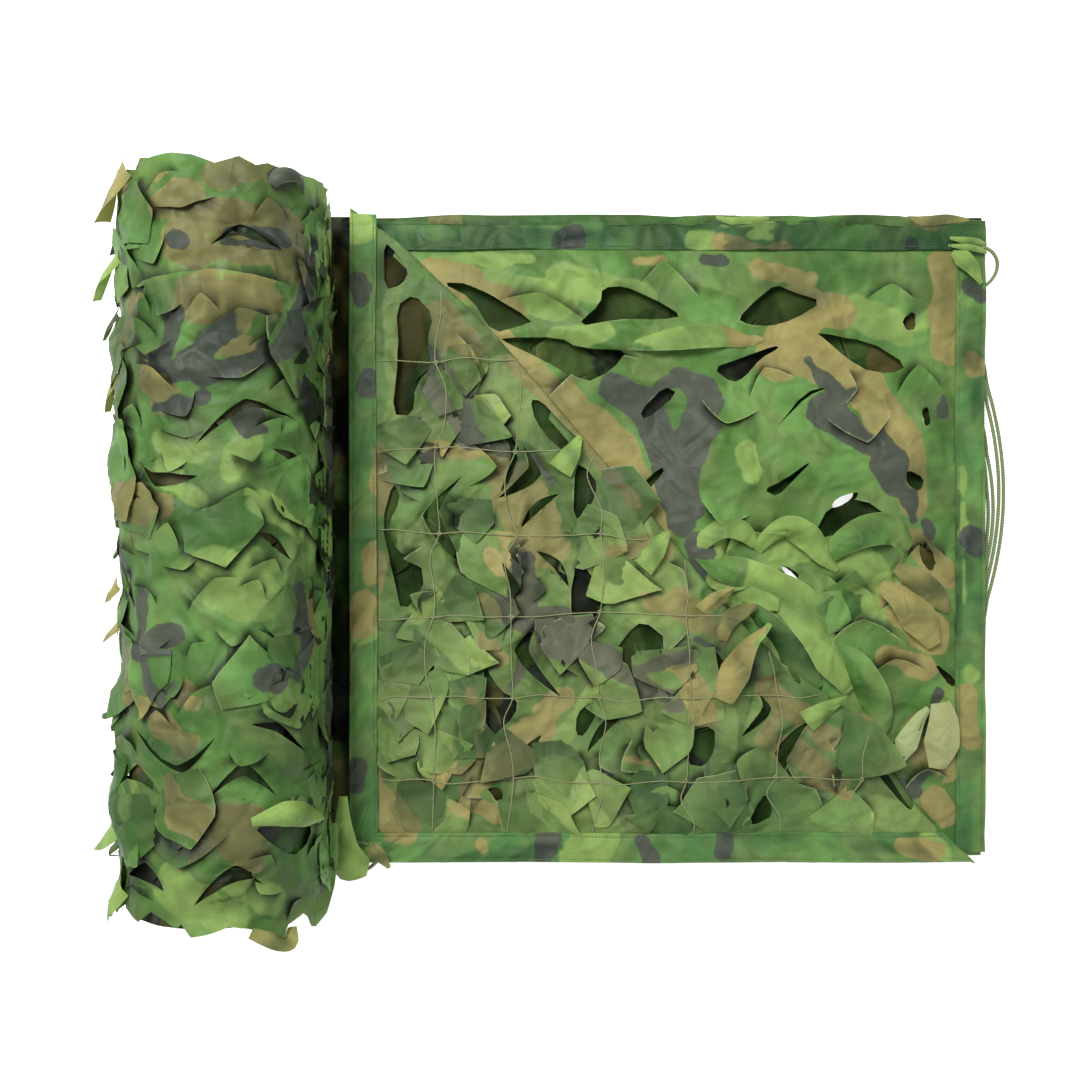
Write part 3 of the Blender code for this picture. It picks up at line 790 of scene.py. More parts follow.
def scattered_cuts(low, high, pitch, seed, across, gap, curl, allowed=None):
    """Leaf cuts in staggered rows. across is the bearing of their chords in degrees."""
    rng = np.random.default_rng(seed)
    cuts = []
    (low_x, low_y), (high_x, high_y) = low, high
    rows = max(1, round((high_y - low_y) / pitch))
    columns = max(1, round((high_x - low_x) / pitch))
    for j in range(rows):
        for i in range(columns):
            x = low_x + (i + 0.5 + 0.5 * (j % 2) + rng.uniform(-0.16, 0.16)) * (high_x - low_x) / columns
            y = low_y + (j + 0.5 + rng.uniform(-0.16, 0.16)) * (high_y - low_y) / rows
            bearing = math.radians(across + rng.uniform(-28, 28))
            half = pitch * rng.uniform(0.38, 0.52)
            bow = pitch * rng.uniform(0.26, 0.44) * (1 if (i + j) % 2 or rng.uniform() < 0.3 else -1)
            along = np.array([math.cos(bearing), math.sin(bearing)])
            side = np.array([-along[1], along[0]])
            middle = np.array([x, y]) - side * bow / 2
            apex = middle + side * bow + along * rng.uniform(-0.35, 0.35) * half
            bits = (*(middle - along * half), *apex, *(middle + along * half))
            opening = gap * rng.uniform(0.4, 1.5)
            turn = curl * rng.uniform(0.5, 1.3) * (-0.5 if rng.uniform() < 0.25 else 1)
            spots = np.array(bits).reshape(3, 2)
            if (spots < np.array(low) + 0.008).any() or (spots > np.array(high) - 0.008).any():
                continue
            if allowed is None or allowed(spots):
                cuts.append(Cut(*bits, opening, turn))
    return cuts


def filled_in(cuts, holes, low, high, passes, allowed=None):
    """The cuts with more scattered between, in passes of pitch, bearing, gap, curl, room and seed."""
    for pitch, across, gap, curl, room, seed in passes:
        clear = clear_of([[*h, h[0]] for h in holes] + [cut_line(c, 0.004) for c in cuts], room)

        def free(spots):
            return (allowed is None or allowed(spots)) and clear(spots)

        cuts = cuts + scattered_cuts(low, high, pitch, seed, across, gap, curl, free)
    return cuts


def clear_of(others, room):
    """A test that a new cut's points stay clear of the cuts and outlines already laid."""
    points = np.array([p for line in others for p in line])
    return lambda spots: line_distance(points, spots).min() >= room


def add_mesh(name, points, faces, uv, material, fields=None):
    """A mesh object with its cloth coordinates as UVs, in metres, and its fields."""
    mesh = bpy.data.meshes.new(name)
    mesh.from_pydata(np.asarray(points).tolist(), [], [tuple(f) for f in faces])
    layer = mesh.uv_layers.new(name="cloth")
    corners = np.empty(len(mesh.loops), dtype=np.int32)
    mesh.loops.foreach_get("vertex_index", corners)
    layer.data.foreach_set("uv", np.asarray(uv)[corners].astype(np.float32).ravel())
    if fields:
        nought = np.zeros(len(points))
        fields = {"open_air": nought + 1, "rim": nought, "tone_and_shading": nought, **fields}
    for key, values in (fields or {}).items():
        attribute = mesh.attributes.new(key, "FLOAT", "POINT")
        attribute.data.foreach_set("value", np.asarray(values, dtype=np.float32))
    mesh.polygons.foreach_set("use_smooth", np.ones(len(mesh.polygons), dtype=bool))
    mesh.materials.append(material)
    mesh.update()
    obj = bpy.data.objects.new(name, mesh)
    bpy.context.scene.collection.objects.link(obj)
    return obj


def swept(stations, profile, closed=False):
    """Faces of a strip or a tube of so many stations with so many points each."""
    index = np.arange(stations * profile).reshape(stations, profile)
    after = np.roll(index, -1, axis=1) if closed else index[:, 1:]
    index = index if closed else index[:, :-1]
    return np.stack([index[:-1], index[1:], after[1:], after[:-1]], axis=-1).reshape(-1, 4)


def make_piece(obj, slot, *nodes):
    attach(obj, "root")
    if nodes:
        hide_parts(*nodes)
    return obj


# ---------------------------------------------------------------- tables

# All lengths in the tables are in millimetres


def metres(value):
    """A table's lengths in metres."""
    return value / 1000 if isinstance(value, (int, float)) else tuple(metres(part) for part in value)


def hole_table(*rows):
    """Cuts drawn wide open: the bearing in degrees of the lip that stands up, its height, the corners."""
    return [(bearing, *metres(lengths)) for bearing, *lengths in rows]


def cut_table(*rows):
    """Leaf cuts: start, apex, end, how wide it is, and from 0 to 1 how far its leaf curls."""
    return [(*metres(lengths), curl) for *lengths, curl in rows]


def strip_table(*rows):
    """Long leaves that stand clear of the rest and twist: colour, then place, width and tilt in degrees
    at stations along each."""
    return [(colour, *[(*metres(station[:4]), station[4]) for station in line]) for colour, *line in rows]


# The upper-right layer
THIRD_HOLES = hole_table(
    (60, 5, (-143, 301), (-110, 299), (-37, 259), (-54, 253), (-84, 245), (-108, 283)),
    (260, 5, (-77, 240), (-8, 240), (11, 228), (72, 223), (50, 201), (18, 186), (-22, 210), (-67, 233)),
    (250, 5, (39, 294), (65, 297), (93, 284), (131, 263), (105, 258), (59, 257), (9, 250), (37, 276)),
    (220, 6, (236, 300), (255, 292), (290, 281), (255, 259), (228, 251), (204, 253), (191, 259),
        (212, 281)),
    (300, 4, (164, 205), (195, 216), (234, 230), (239, 227), (218, 216), (201, 195), (187, 188)),
    (230, 4, (377, 259), (393, 271), (393, 249), (382, 246)),
    (240, 6, (277, 243), (342, 236), (385, 208), (364, 197), (325, 203), (288, 236)),
    (130, 3, (82, 156), (109, 184), (125, 176), (88, 146)),
    (320, 3, (73, 63), (106, 94), (109, 87), (82, 56)),
    (320, 4, (234, 135), (269, 178), (296, 184), (271, 173), (244, 146)),
    (320, 4, (220, 67), (244, 78), (277, 102), (255, 78), (236, 59)),
    (60, 6, (277, 11), (297, 50), (333, 58), (368, 33), (331, 22)),
    (230, 4, (380, 90), (404, 81), (400, 65), (382, 72)),
    (230, 4, (399, 156), (408, 163), (409, 142), (401, 137)),
    (230, 4, (397, 14), (420, -12), (410, -27), (399, -12)),
    (210, 4, (410, -126), (442, -148), (438, -157), (425, -148)),
    (130, 5, (360, -230), (399, -183), (410, -191), (406, -202), (377, -252)),
)

# Where it lies smooth
SMOOTH_AREA = metres((
    (-8, 186), (151, 249), (230, 226), (264, 124), (321, 33), (253, -35), (151, 10), (60, 124),
))

# The turned corner
FLAP_HOLES = hole_table(
    (0, 2, (-206, 346), (-191, 331), (-177, 311), (-186, 296), (-205, 290)),
    (0, 3, (-196, 77), (-187, 55), (-200, 29), (-196, 5), (-154, -28), (-186, -75), (-196, -23),
        (-208, 29)),
    (180, 2, (-196, 150), (-188, 215), (-192, 272), (-172, 286), (-150, 262), (-158, 232), (-152, 205),
        (-170, 185), (-174, 150)),
    (60, 4, (-42, 168), (-30, 166), (-6, 140), (18, 118), (12, 100), (-16, 118), (-36, 143)),
    (180, 3, (8, 96), (22, 90), (34, 72), (26, 48), (6, 30)),
    (180, 4, (10, -7), (36, -43), (46, -56), (34, -73), (10, -101), (2, -56)),
    (0, 3, (-94, -127), (-76, -157), (-56, -168), (-58, -184), (-87, -215), (-93, -168)),
    (180, 3, (10, -184), (27, -170), (34, -184), (19, -210), (9, -207)),
    (45, 4, (84, -79), (113, -102), (80, -135), (70, -150), (50, -121), (65, -96)),
    (180, 3, (128, -202), (165, -198), (164, -223), (153, -243), (133, -240)),
    (230, 4, (151, -114), (164, -112), (177, -128), (167, -141), (154, -123)),
    (230, 4, (322, -187), (330, -198), (307, -215), (294, -227), (303, -210)),
    (230, 4, (343, -246), (353, -235), (370, -251), (388, -285), (383, -293), (364, -274)),
    (230, 4, (192, -308), (203, -296), (223, -270), (231, -299), (214, -304)),
    (0, 2, (222, -104), (230, -104), (254, -128), (262, -152), (250, -146)),
    (180, 3, (-77, 139), (-60, 124), (-52, 105), (-59, 77), (-77, 60), (-67, 88), (-62, 111)),
)
FLAP_CUTS = cut_table(
    (-52, 118, -38, 88, -78, 58, 4.5, 0.8), (-117, 82, -152, 39, -110, -24, 5, 0.9),
    (-10, 62, -33, 46, -52, 24, 3, 0.5), (-35, -2, -14, -18, 1, -42, 3, 0.3),
    (-88, 0, -58, -42, -80, -66, 2, 0.7), (-117, -55, -129, -71, -147, -90, 1, 0.5),
    (-88, -79, -92, -86, -99, -92, 1, 0.3), (-170, 130, -166, 117, -158, 107, 2, 0.3),
    (-206, 99, -208, 91, -216, 82, 1, 0.3), (-27, -76, -52, -112, -6, -166, 4, 0.7),
    (-176, -115, -147, -157, -158, -186, 1, 0.6), (-136, -121, -122, -143, -106, -162, 1, 0.3),
    (-235, -141, -228, -154, -220, -171, 3, 0.3), (-29, -208, -45, -230, -50, -251, 3, 0.5),
    (-135, -213, -145, -231, -129, -259, 1, 0.4), (-129, -259, -113, -268, -93, -278, 2, 0.4),
    (-90, -268, -82, -272, -74, -286, 3, 0.3), (1, -252, 14, -264, 24, -281, 1, 0.3),
    (-35, -266, -30, -276, -23, -282, 1, 0.3), (-216, -219, -205, -237, -190, -255, 2, 0.4),
    (-184, -271, -171, -288, -151, -301, 2, 0.4), (211, -159, 223, -176, 194, -209, 4, 0.8),
    (271, -192, 239, -231, 254, -259, 3, 0.7), (36, -223, 41, -238, 53, -251, 1, 0.3),
    (71, -179, 45, -197, 22, -227, 3, 0.6), (84, -169, 94, -176, 103, -189, 1, 0.3),
    (110, -14, 124, -27, 134, -50, 2, 0.3), (255, -261, 272, -272, 285, -288, 2, 0.3),
    (301, -314, 314, -305, 327, -305, 2, 0.3), (-126, 244, -98, 198, -109, 166, 1, 0.6),
    (-109, 172, -76, 150, -70, 122, 1, 0.3), (-9, 22, 25, 22, 58, 55, 1, 0.5),
    (80, -101, 103, -112, 136, -90, 1, 0.4), (-165, -235, -181, -207, -159, -184, 1, 0.5),
    (80, -279, 108, -268, 136, -279, 1, 0.5), (147, -157, 136, -173, 147, -192, 1, 0.4),
    (314, -268, 320, -285, 337, -296, 1, 0.3), (-76, -301, -48, -293, -14, -304, 1, 0.4),
    (58, -56, 71, -45, 92, -52, 1, 0.5),
)

# The upper-right layer again
THIRD_CUTS = cut_table(
    (-76, 282, -31, 282, 20, 257, 2, 0.4), (82, 299, 105, 316, 150, 282, 2, 0.5),
    (-25, 169, 37, 214, 82, 214, 1, 0.4), (150, 248, 195, 234, 240, 237, 1, 0.6),
    (337, 282, 365, 293, 393, 282, 2, 0.4), (139, 124, 173, 135, 201, 174, 1, 0.5),
    (314, 112, 342, 124, 376, 90, 2, 0.6), (314, 203, 320, 180, 314, 163, 2, 0.5),
    (371, 174, 393, 203, 427, 180, 2, 0.6), (173, 33, 218, 56, 263, 33, 2, 0.8),
    (218, -12, 252, 16, 297, 11, 2, 1), (263, -69, 308, -35, 354, -57, 2, 1),
    (286, -114, 331, -80, 376, -103, 2, 0.8), (331, -159, 365, -125, 404, -137, 2, 0.8),
    (150, 56, 173, 33, 207, 39, 1, 0.5), (354, -69, 382, -57, 410, -80, 2, 0.6),
    (382, -12, 404, 5, 433, -12, 1, 0.6), (382, -272, 404, -250, 433, -261, 2, 0.8),
    (127, -12, 173, -46, 218, -35, 2, 0.9), (150, 169, 178, 146, 218, 158, 1, 0.4),
)

# The roll, across it from its crest and along it
ROLL_CUTS = cut_table(
    (-78, 254, 10, 257.5, 92, 257, 1, 0.2), (-53, 338, -33, 350, -15, 355, 3, 0.6),
    (-44, 325, -12, 326, 19, 334, 4, 0.5), (12, 286, 38, 301, 78, 288, 8, 0.6),
    (-6, 192, 38, 224, 84, 215, 3, 0.5), (-69, 179, -44, 167, -21, 152, 3, 0.4),
    (-92, 308, -75, 296, -62, 290, 1, 0.3), (-81, 268, -69, 256, -53, 253, 2, 0.4),
    (50, 315, 63, 332, 91, 320, 2, 0.4), (-97, 223, -75, 224, -43, 201, 2, 0.8),
    (9, 164, 38, 168, 66, 185, 1, 0.3), (-3, 100, 45, 139, 95, 126, 5, 0.6),
    (-69, 90, -46, 70, 0, 71, 8, 0.9), (-3, 28, 45, 57, 60, 50, 2, 0.5),
    (-12, -59, 18, -29, 38, -25, 2, 0.5), (-78, 19, -64, 8, -48, -3, 3, 0.6),
    (53, 17, 66, 10, 89, -9, 6, 0.9), (69, 98, 95, 89, 120, 76, 5, 0.7),
    (35, -35, 53, -31, 62, -47, 1, 0.4), (-84, -34, -59, -40, -44, -52, 3, 0.6),
    (-33, -13, -12, -11, 0, -8, 1, 0.4), (-43, 118, -12, 111, 9, 115, 1, 0.3),
    (-78, -172, -15, -203, 17, -174, 6, 0.7), (-17, -154, 0, -136, 21, -122, 4, 0.6),
    (47, -163, 71, -170, 102, -197, 5, 0.7), (9, -233, 41, -208, 74, -236, 6, 0.6),
    (-120, -239, -76, -213, -33, -237, 6, 0.7), (-62, -261, -15, -293, 31, -265, 4, 0.6),
    (54, -74, 68, -92, 78, -106, 1, 0.3), (-12, -104, 0, -91, 8, -85, 1, 0.3),
    (-89, -314, -62, -305, -35, -321, 6, 0.7), (-4, -333, 36, -303, 61, -317, 6, 0.7),
    (50, -306, 59, -322, 80, -329, 2, 0.4), (84, -359, 93, -346, 106, -343, 2, 0.5),
    (129, -331, 148, -323, 158, -305, 4, 0.4),
)

# Tips and notches of its ragged ends
ROLL_LOW_RIM = metres((
    (-112, -339), (-64, -354), (-49, -342), (-22, -356), (-17, -351), (-6, -362), (12, -359),
    (29, -354), (57, -362), (80, -378), (86, -363), (104, -357), (123, -375), (129, -352), (153, -340),
))

ROLL_HIGH_RIM = metres((
    (-109, 376), (-75, 367), (-68, 377), (-53, 374), (-30, 374), (-6, 373), (15, 366), (38, 374),
    (53, 367), (65, 372), (76, 371), (89, 373), (113, 373), (133, 374),
))

# Blotches of the print, as rounded stripes: from one point to another, and half the width
THIRD_DARK = metres((
    (50, 182, 82, 167, 16), (82, 167, 107, 124, 19), (107, 124, 127, 33, 20), (93, 175, 125, 194, 12),
    (125, 194, 150, 180, 16), (152, 176, 156, 150, 20), (154, 148, 130, 105, 24),
    (130, 100, 136, 45, 18), (271, 212, 312, 170, 7), (290, 155, 340, 124, 19), (340, 124, 368, 98, 16),
    (354, 95, 373, 76, 15), (385, 65, 392, 33, 9), (408, 29, 412, 22, 10), (147, 5, 150, -8, 16),
    (156, 325, 175, 324, 7), (425, 174, 425, 155, 6), (419, -165, 404, -204, 8),
    (378, -267, 392, -275, 10),
))
THIRD_TAN = metres((
    (-150, 300, -70, 288, 15), (-110, 305, -60, 268, 12), (-155, 318, -106, 309, 15),
    (-82, 240, -8, 169, 18), (-8, 169, 62, 107, 24), (62, 107, 99, 33, 21), (99, 56, 110, 50, 10),
    (257, 282, 308, 268, 22), (263, 259, 235, 214, 27), (263, 225, 331, 186, 25),
    (331, 180, 376, 135, 22), (382, 124, 393, 56, 22), (218, 316, 274, 305, 13),
    (82, 325, 105, 325, 11), (424, 325, 426, 225, 20), (393, 5, 427, -29, 18),
    (359, -120, 404, -131, 16), (404, -216, 433, -233, 34), (416, -284, 433, -301, 18),
    (314, 201, 306, 178, 13), (333, -170, 344, -210, 9), (375, -60, 412, -98, 26),
))
THIRD_PALE = metres((
    (-110, 293, -8, 282, 22), (-8, 305, 82, 282, 20), (-150, 327, -40, 327, 6), (200, 112, 205, 85, 12),
    (-8, 237, 37, 242, 13), (331, 271, 376, 248, 20), (308, 11, 354, -57, 24), (173, -12, 218, -57, 28),
    (252, -103, 274, -103, 28), (229, -12, 263, -1, 17), (438, -170, 444, -238, 22),
    (390, 250, 412, 262, 10),
))
FLAP_DARK = metres((
    (-159, 220, -137, 166, 15), (-137, 166, -109, 122, 16), (-109, 122, -64, 109, 10),
    (-42, 100, -18, 77, 11), (-48, -12, -44, -56, 13), (-70, -45, -59, -79, 13),
    (-53, -79, -9, -79, 16), (-25, -101, 36, -123, 16), (19, -112, 64, -145, 17),
    (58, -145, 136, -123, 11), (8, -101, 25, -79, 13), (-42, -123, -64, -157, 10),
    (80, -157, 125, -168, 10), (142, -101, 170, -112, 7), (-240, -223, -240, -251, 9),
))
FLAP_TAN = metres((
    (-66, 216, -10, 152, 10), (-10, 152, 50, 90, 13), (50, 90, 85, 45, 10), (-142, 256, -109, 222, 22),
    (-154, 116, -76, 100, 13), (-87, 94, -42, 66, 18), (-42, 66, -25, 33, 20), (-31, 33, -14, -1, 18),
    (-81, 5, -64, -12, 11), (-87, -56, -76, -67, 9), (-211, 122, -209, 55, 16),
    (-214, -12, -220, -79, 13), (-98, -101, -76, -118, 13), (-103, -168, -98, -223, 9),
    (-126, -246, -76, -235, 18), (-76, -223, -31, -201, 20), (-31, -190, -9, -168, 16),
    (-120, -279, -76, -296, 13), (-215, -279, -187, -313, 20), (-211, -279, -218, -246, 9),
    (80, 5, 103, -1, 16), (125, -56, 147, -79, 18), (147, -79, 175, -101, 13),
    (225, -157, 292, -212, 16), (247, -223, 281, -246, 18), (270, -257, 303, -268, 11),
    (147, -168, 158, -190, 13), (80, -235, 92, -240, 7), (314, -168, 348, -184, 7),
    (214, -212, 231, -190, 9), (-105, -255, -40, -205, 24), (97, -62, 153, -76, 13),
    (128, -136, 157, -180, 17), (-66, 55, -35, 0, 22), (53, 3, 85, -6, 12),
))
FLAP_PALE = metres((
    (-76, 189, -9, 122, 28), (36, 55, 92, -56, 34), (36, -12, 58, -45, 22), (-76, 244, -98, 278, 9),
    (-154, -67, -109, -112, 22), (170, -190, 170, -246, 16), (225, -79, 259, -112, 22),
    (-9, -268, 36, -313, 28), (348, -290, 392, -313, 20), (192, -112, 203, -79, 11),
    (-193, 300, -196, 144, 9), (92, -12, 125, -45, 22), (25, -157, -9, -212, 9),
    (-142, -168, -142, -235, 17),
))
ROLL_DARK = metres((
    (-32, 184, -21, 221, 10), (-18, 170, 3, 188, 9), (3, 188, 26, 207, 9), (26, 207, 53, 221, 9),
    (-43, 180, -11, 168, 7), (3, 165, 48, 179, 8), (48, 179, 83, 199, 10), (83, 199, 100, 216, 12),
    (100, 230, 115, 208, 12), (-24, 292, -16, 291, 8), (30, 294, 77, 299, 6), (44, 112, 60, 117, 8),
    (-43, 135, 3, 143, 7), (110, 143, 102, 167, 10), (-67, -52, -61, -85, 8), (-61, -85, -26, -79, 12),
    (-49, -103, -32, -140, 7), (53, -122, 83, -134, 14), (83, -134, 115, -88, 10),
    (107, -107, 100, -68, 9), (73, 357, 88, 361, 10), (112, 297, 106, 246, 7), (100, -38, 107, -68, 9),
    (-103, 6, -90, -28, 5),
))
ROLL_TAN = metres((
    (17, 352, 58, 371, 14), (-37, 326, -6, 333, 14), (3, 314, 88, 315, 18), (-26, 292, 3, 282, 16),
    (3, 282, 88, 291, 14), (3, 235, 58, 238, 22), (21, 198, 58, 191, 14), (-49, 171, -32, 142, 16),
    (-81, 242, -93, 215, 10), (-129, 51, -64, 34, 18), (-64, 49, -32, 43, 14), (-93, 360, -93, 341, 8),
    (-49, -141, -32, -168, 14), (-16, -130, -6, -139, 12), (-32, -168, -6, -181, 12),
    (-26, -215, -6, -247, 12), (-6, -247, 48, -264, 20), (30, -266, 48, -292, 16),
    (-93, -96, -81, -134, 8), (123, -49, 124, -99, 8), (77, 270, 100, 269, 9),
    (-119, -49, -119, -89, 6),
))
ROLL_PALE = metres((
    (-32, 104, -2, 95, 12), (12, -8, 58, -46, 20), (21, -36, 48, -46, 18), (58, 48, 100, 20, 12),
    (-37, 76, 3, 48, 10), (-26, -318, 30, -346, 20), (39, -319, 67, -333, 14),
    (-81, -221, -72, -248, 10), (-16, 268, 30, 266, 10), (48, -8, 39, -55, 12),
    (88, -256, 100, -263, 12), (48, 105, 30, 76, 12),
))
ROLL_HOLES = hole_table(
    (60, 6, (50, -262), (71, -283), (97, -301), (115, -293), (126, -280), (88, -262)),
)
# Where ties draw the cloth down
TWINE_KNOTS = metres((
    (-147, 211), (-61, 208), (-147, 111), (-61, 111), (34, 108), (-61, 16), (-147, 16), (36, 16),
    (-147, -73), (-61, -72), (36, -71), (137, -79), (131, -165), (33, -161), (-62, -160), (-147, -164),
    (100, -250), (-60, -252), (228, -170), (228, -255), (330, -257), (-147, -257),
))
THIRD_KNOTS = metres((
    (-95, 230), (5, 300), (100, 225), (195, 195), (215, 290), (310, 255), (120, 115), (215, 105),
    (300, 100), (365, 165), (205, 20), (300, -5), (395, 10), (330, -95), (410, -100),
))
# Broad folds: from one point to another, height, and half width
THIRD_RIDGES = metres((
    (-50, 300, 60, 240, 4, 12), (100, 270, 200, 220, 4, 12), (130, 160, 200, 90, 5, 16),
    (260, 240, 360, 180, 5, 16), (300, 20, 370, -50, 6, 18), (170, -20, 240, -60, 6, 14),
    (250, -90, 300, -120, 6, 14), (330, 130, 400, 80, 4, 14),
))
FLAP_RIDGES = metres((
    (-160, 200, -100, 120, 5, 12), (-60, 150, 0, 90, 4, 12), (40, 50, 90, -60, 5, 14),
    (-190, 20, -160, -90, 4, 12), (170, -170, 170, -260, 5, 14), (-20, -260, 50, -320, 4, 12),
    (-150, -150, -140, -250, 4, 12), (-30, -100, 50, -130, 4, 10),
))
ROLL_RIDGES = metres((
    (-70, 340, 70, 320, 4, 16), (20, 250, 90, 200, 5, 16), (-50, 200, 20, 150, 4, 14),
    (-90, 50, -20, 40, 4, 14), (30, 110, 90, 20, 5, 16), (-60, -90, -20, -150, 4, 12),
    (30, -120, 100, -200, 5, 14), (-30, -200, 30, -260, 4, 12), (0, -310, 50, -340, 4, 10),
))
# Leaves that stand out at the roll's far side: place along it, and size
ROLL_TIPS = metres((
    (345, 40), (285, 32), (232, 24), (150, 28), (70, 26), (-30, 28), (-70, 24), (-145, 30), (-215, 26),
    (-278, 44), (-335, 26),
))
LOOSE_LEAVES = strip_table(
    ("shaded", (-195, 374, 16, 4, 6), (-120, 373.5, 17.3, 12, 8), (-60, 373, 16.8, 13, 10),
        (10, 373.5, 17.3, 12, 10), (80, 373, 16.8, 13, 8), (125, 374, 16.4, 5, 6)),
    ("yellow", (168, 376, 17.7, 3, 6), (185, 371, 18.5, 11, 15), (205, 373, 18.1, 10, 15),
        (228, 374, 17.7, 3, 6)),
    ("deep", (105, 375, 16.8, 4, 6), (135, 372, 17.7, 13, 14), (160, 374, 16.8, 10, 17),
        (190, 372, 17.7, 14, 13), (220, 374, 16.8, 9, 14), (255, 373, 17.3, 12, 11),
        (285, 375, 16.4, 4, 6)),
    ("deep", (265, 375, 16.8, 4, 6), (300, 372, 17.7, 14, 13), (340, 374, 16.8, 11, 14),
        (375, 372, 17.7, 14, 11), (400, 374, 16.4, 4, 6)),
    ("brown", (385, 376, 17.3, 4, 6), (405, 372, 18.1, 13, 14), (430, 374, 17.3, 12, 14),
        (455, 373, 16.8, 4, 6)),
    ("green", (146, -8, 22, 11, 40), (166, -19, 28, 27, 25), (195, -27, 33, 36, -10),
        (228, -40, 34, 40, -35), (257, -61, 31, 47, 0), (278, -90, 28, 52, 25), (297, -124, 25, 47, 25),
        (319, -159, 21, 22, 30)),
    ("pale", (143, -8, 20, 9, 0), (153, 11, 27, 22, 20), (173, 23, 31, 27, 35), (195, 21, 30, 25, 20),
        (212, 5, 24, 11, 0)),
    ("yellow", (213, -1, 22, 11, 0), (227, 16, 29, 22, -25), (246, 25, 34, 31, -35),
        (269, 13, 32, 31, -15), (287, -7, 27, 22, 10), (305, -23, 21, 9, 20)),
    ("green", (290, -14, 20, 11, 10), (309, 7, 28, 29, 25), (335, 21, 32, 40, 30),
        (364, 22, 29, 38, 15), (384, 1, 22, 16, 0)),
    ("green", (306, -108, 20, 16, 20), (326, -133, 26, 34, -25), (342, -162, 27, 38, -30),
        (350, -194, 24, 29, -10), (346, -225, 20, 9, 0)),
    ("deep", (190, -57, 22, 18, -30), (228, -88, 26, 34, -35), (256, -124, 25, 38, -25),
        (276, -159, 22, 25, -10)),
    ("tan", (171, -167, 40, 26, 0), (185, -135, 44, 34, 20), (198, -109, 48, 22, 35),
        (218, -85, 50, 4, 40)),
    ("tan", (151, -70, 38, 25, -20), (164, -56, 42, 22, -30), (184, -43, 43, 6, -30)),
    ("green", (265, -192, 38, 27, 0), (286, -177, 42, 22, -20), (310, -163, 42, 4, -30)),
    ("pale", (80, -17, 38, 34, 10), (97, 2, 41, 27, 20), (111, 19, 41, 7, 20)),
    ("pale", (-9, 88, 38, 29, 10), (4, 108, 41, 22, 20), (13, 126, 41, 6, 20)),
    ("green", (37, 239, 20, 9, 0), (72, 233, 26, 22, 20), (120, 237, 30, 34, 30),
        (169, 240, 27, 27, 10), (203, 235, 23, 13, -10), (242, 241, 20, 7, 0)),
    ("yellow", (194, -126, 47, 7, 60), (202, -108, 50, 10, 50), (213, -93, 50, 10, 40),
        (223, -82, 46, 6, 30)),
    ("brown", (171, -101, 38, 11, 0), (177, -80, 42, 20, 30), (191, -69, 44, 18, 20),
        (209, -63, 40, 7, 0)),
    ("cream", (419, -172, 26, 22, 0), (422, -194, 28, 36, 10), (420, -219, 27, 38, -10),
        (418, -247, 22, 20, 0)),
    ("bare", (404, -178, 30, 7, 0), (392, -193, 31, 20, 20), (379, -218, 30, 25, -15),
        (370, -246, 24, 7, 0)),
    ("dark", (396, -195, 31, 2, 20), (385, -215, 32, 6, -10), (375, -236, 29, 2, 0)),
    ("pale", (431, 351, 22, 3, 0), (444, 348, 25, 7, 0), (459, 347, 25, 7, 0), (473, 344, 20, 3, 0)),
    ("yellow", (433, 342, 22, 3, 0), (446, 340, 26, 7, 0), (460, 338, 26, 7, 0), (473, 335, 20, 3, 0)),
    ("pale", (434, 335, 22, 7, 0), (444, 328, 25, 20, -10), (456, 316, 26, 18, 10),
        (468, 300, 20, 4, 0)),
    ("yellow", (-243, -265, 72, 9, 0), (-244, -292, 68, 16, 10), (-243, -321, 62, 29, -10),
        (-239, -344, 56, 45, 0), (-236, -361, 50, 29, 0)),
    ("green", (-251, -290, 84, 9, 0), (-258, -323, 80, 22, 15), (-265, -357, 76, 29, -10),
        (-273, -389, 70, 25, 0), (-277, -409, 64, 5, 0)),
    ("brown", (-219, -328, 44, 13, 0), (-208, -339, 44, 16, 0), (-198, -353, 42, 4, 0)),
    ("tan", (350, -40, 30, 13, 0), (373, -56, 34, 34, 20), (393, -79, 34, 40, -10),
        (411, -108, 28, 16, 0)),
    ("brown", (368, -19, 28, 11, 0), (389, -34, 32, 31, -20), (415, -54, 30, 27, 10),
        (428, -71, 24, 7, 0)),
)
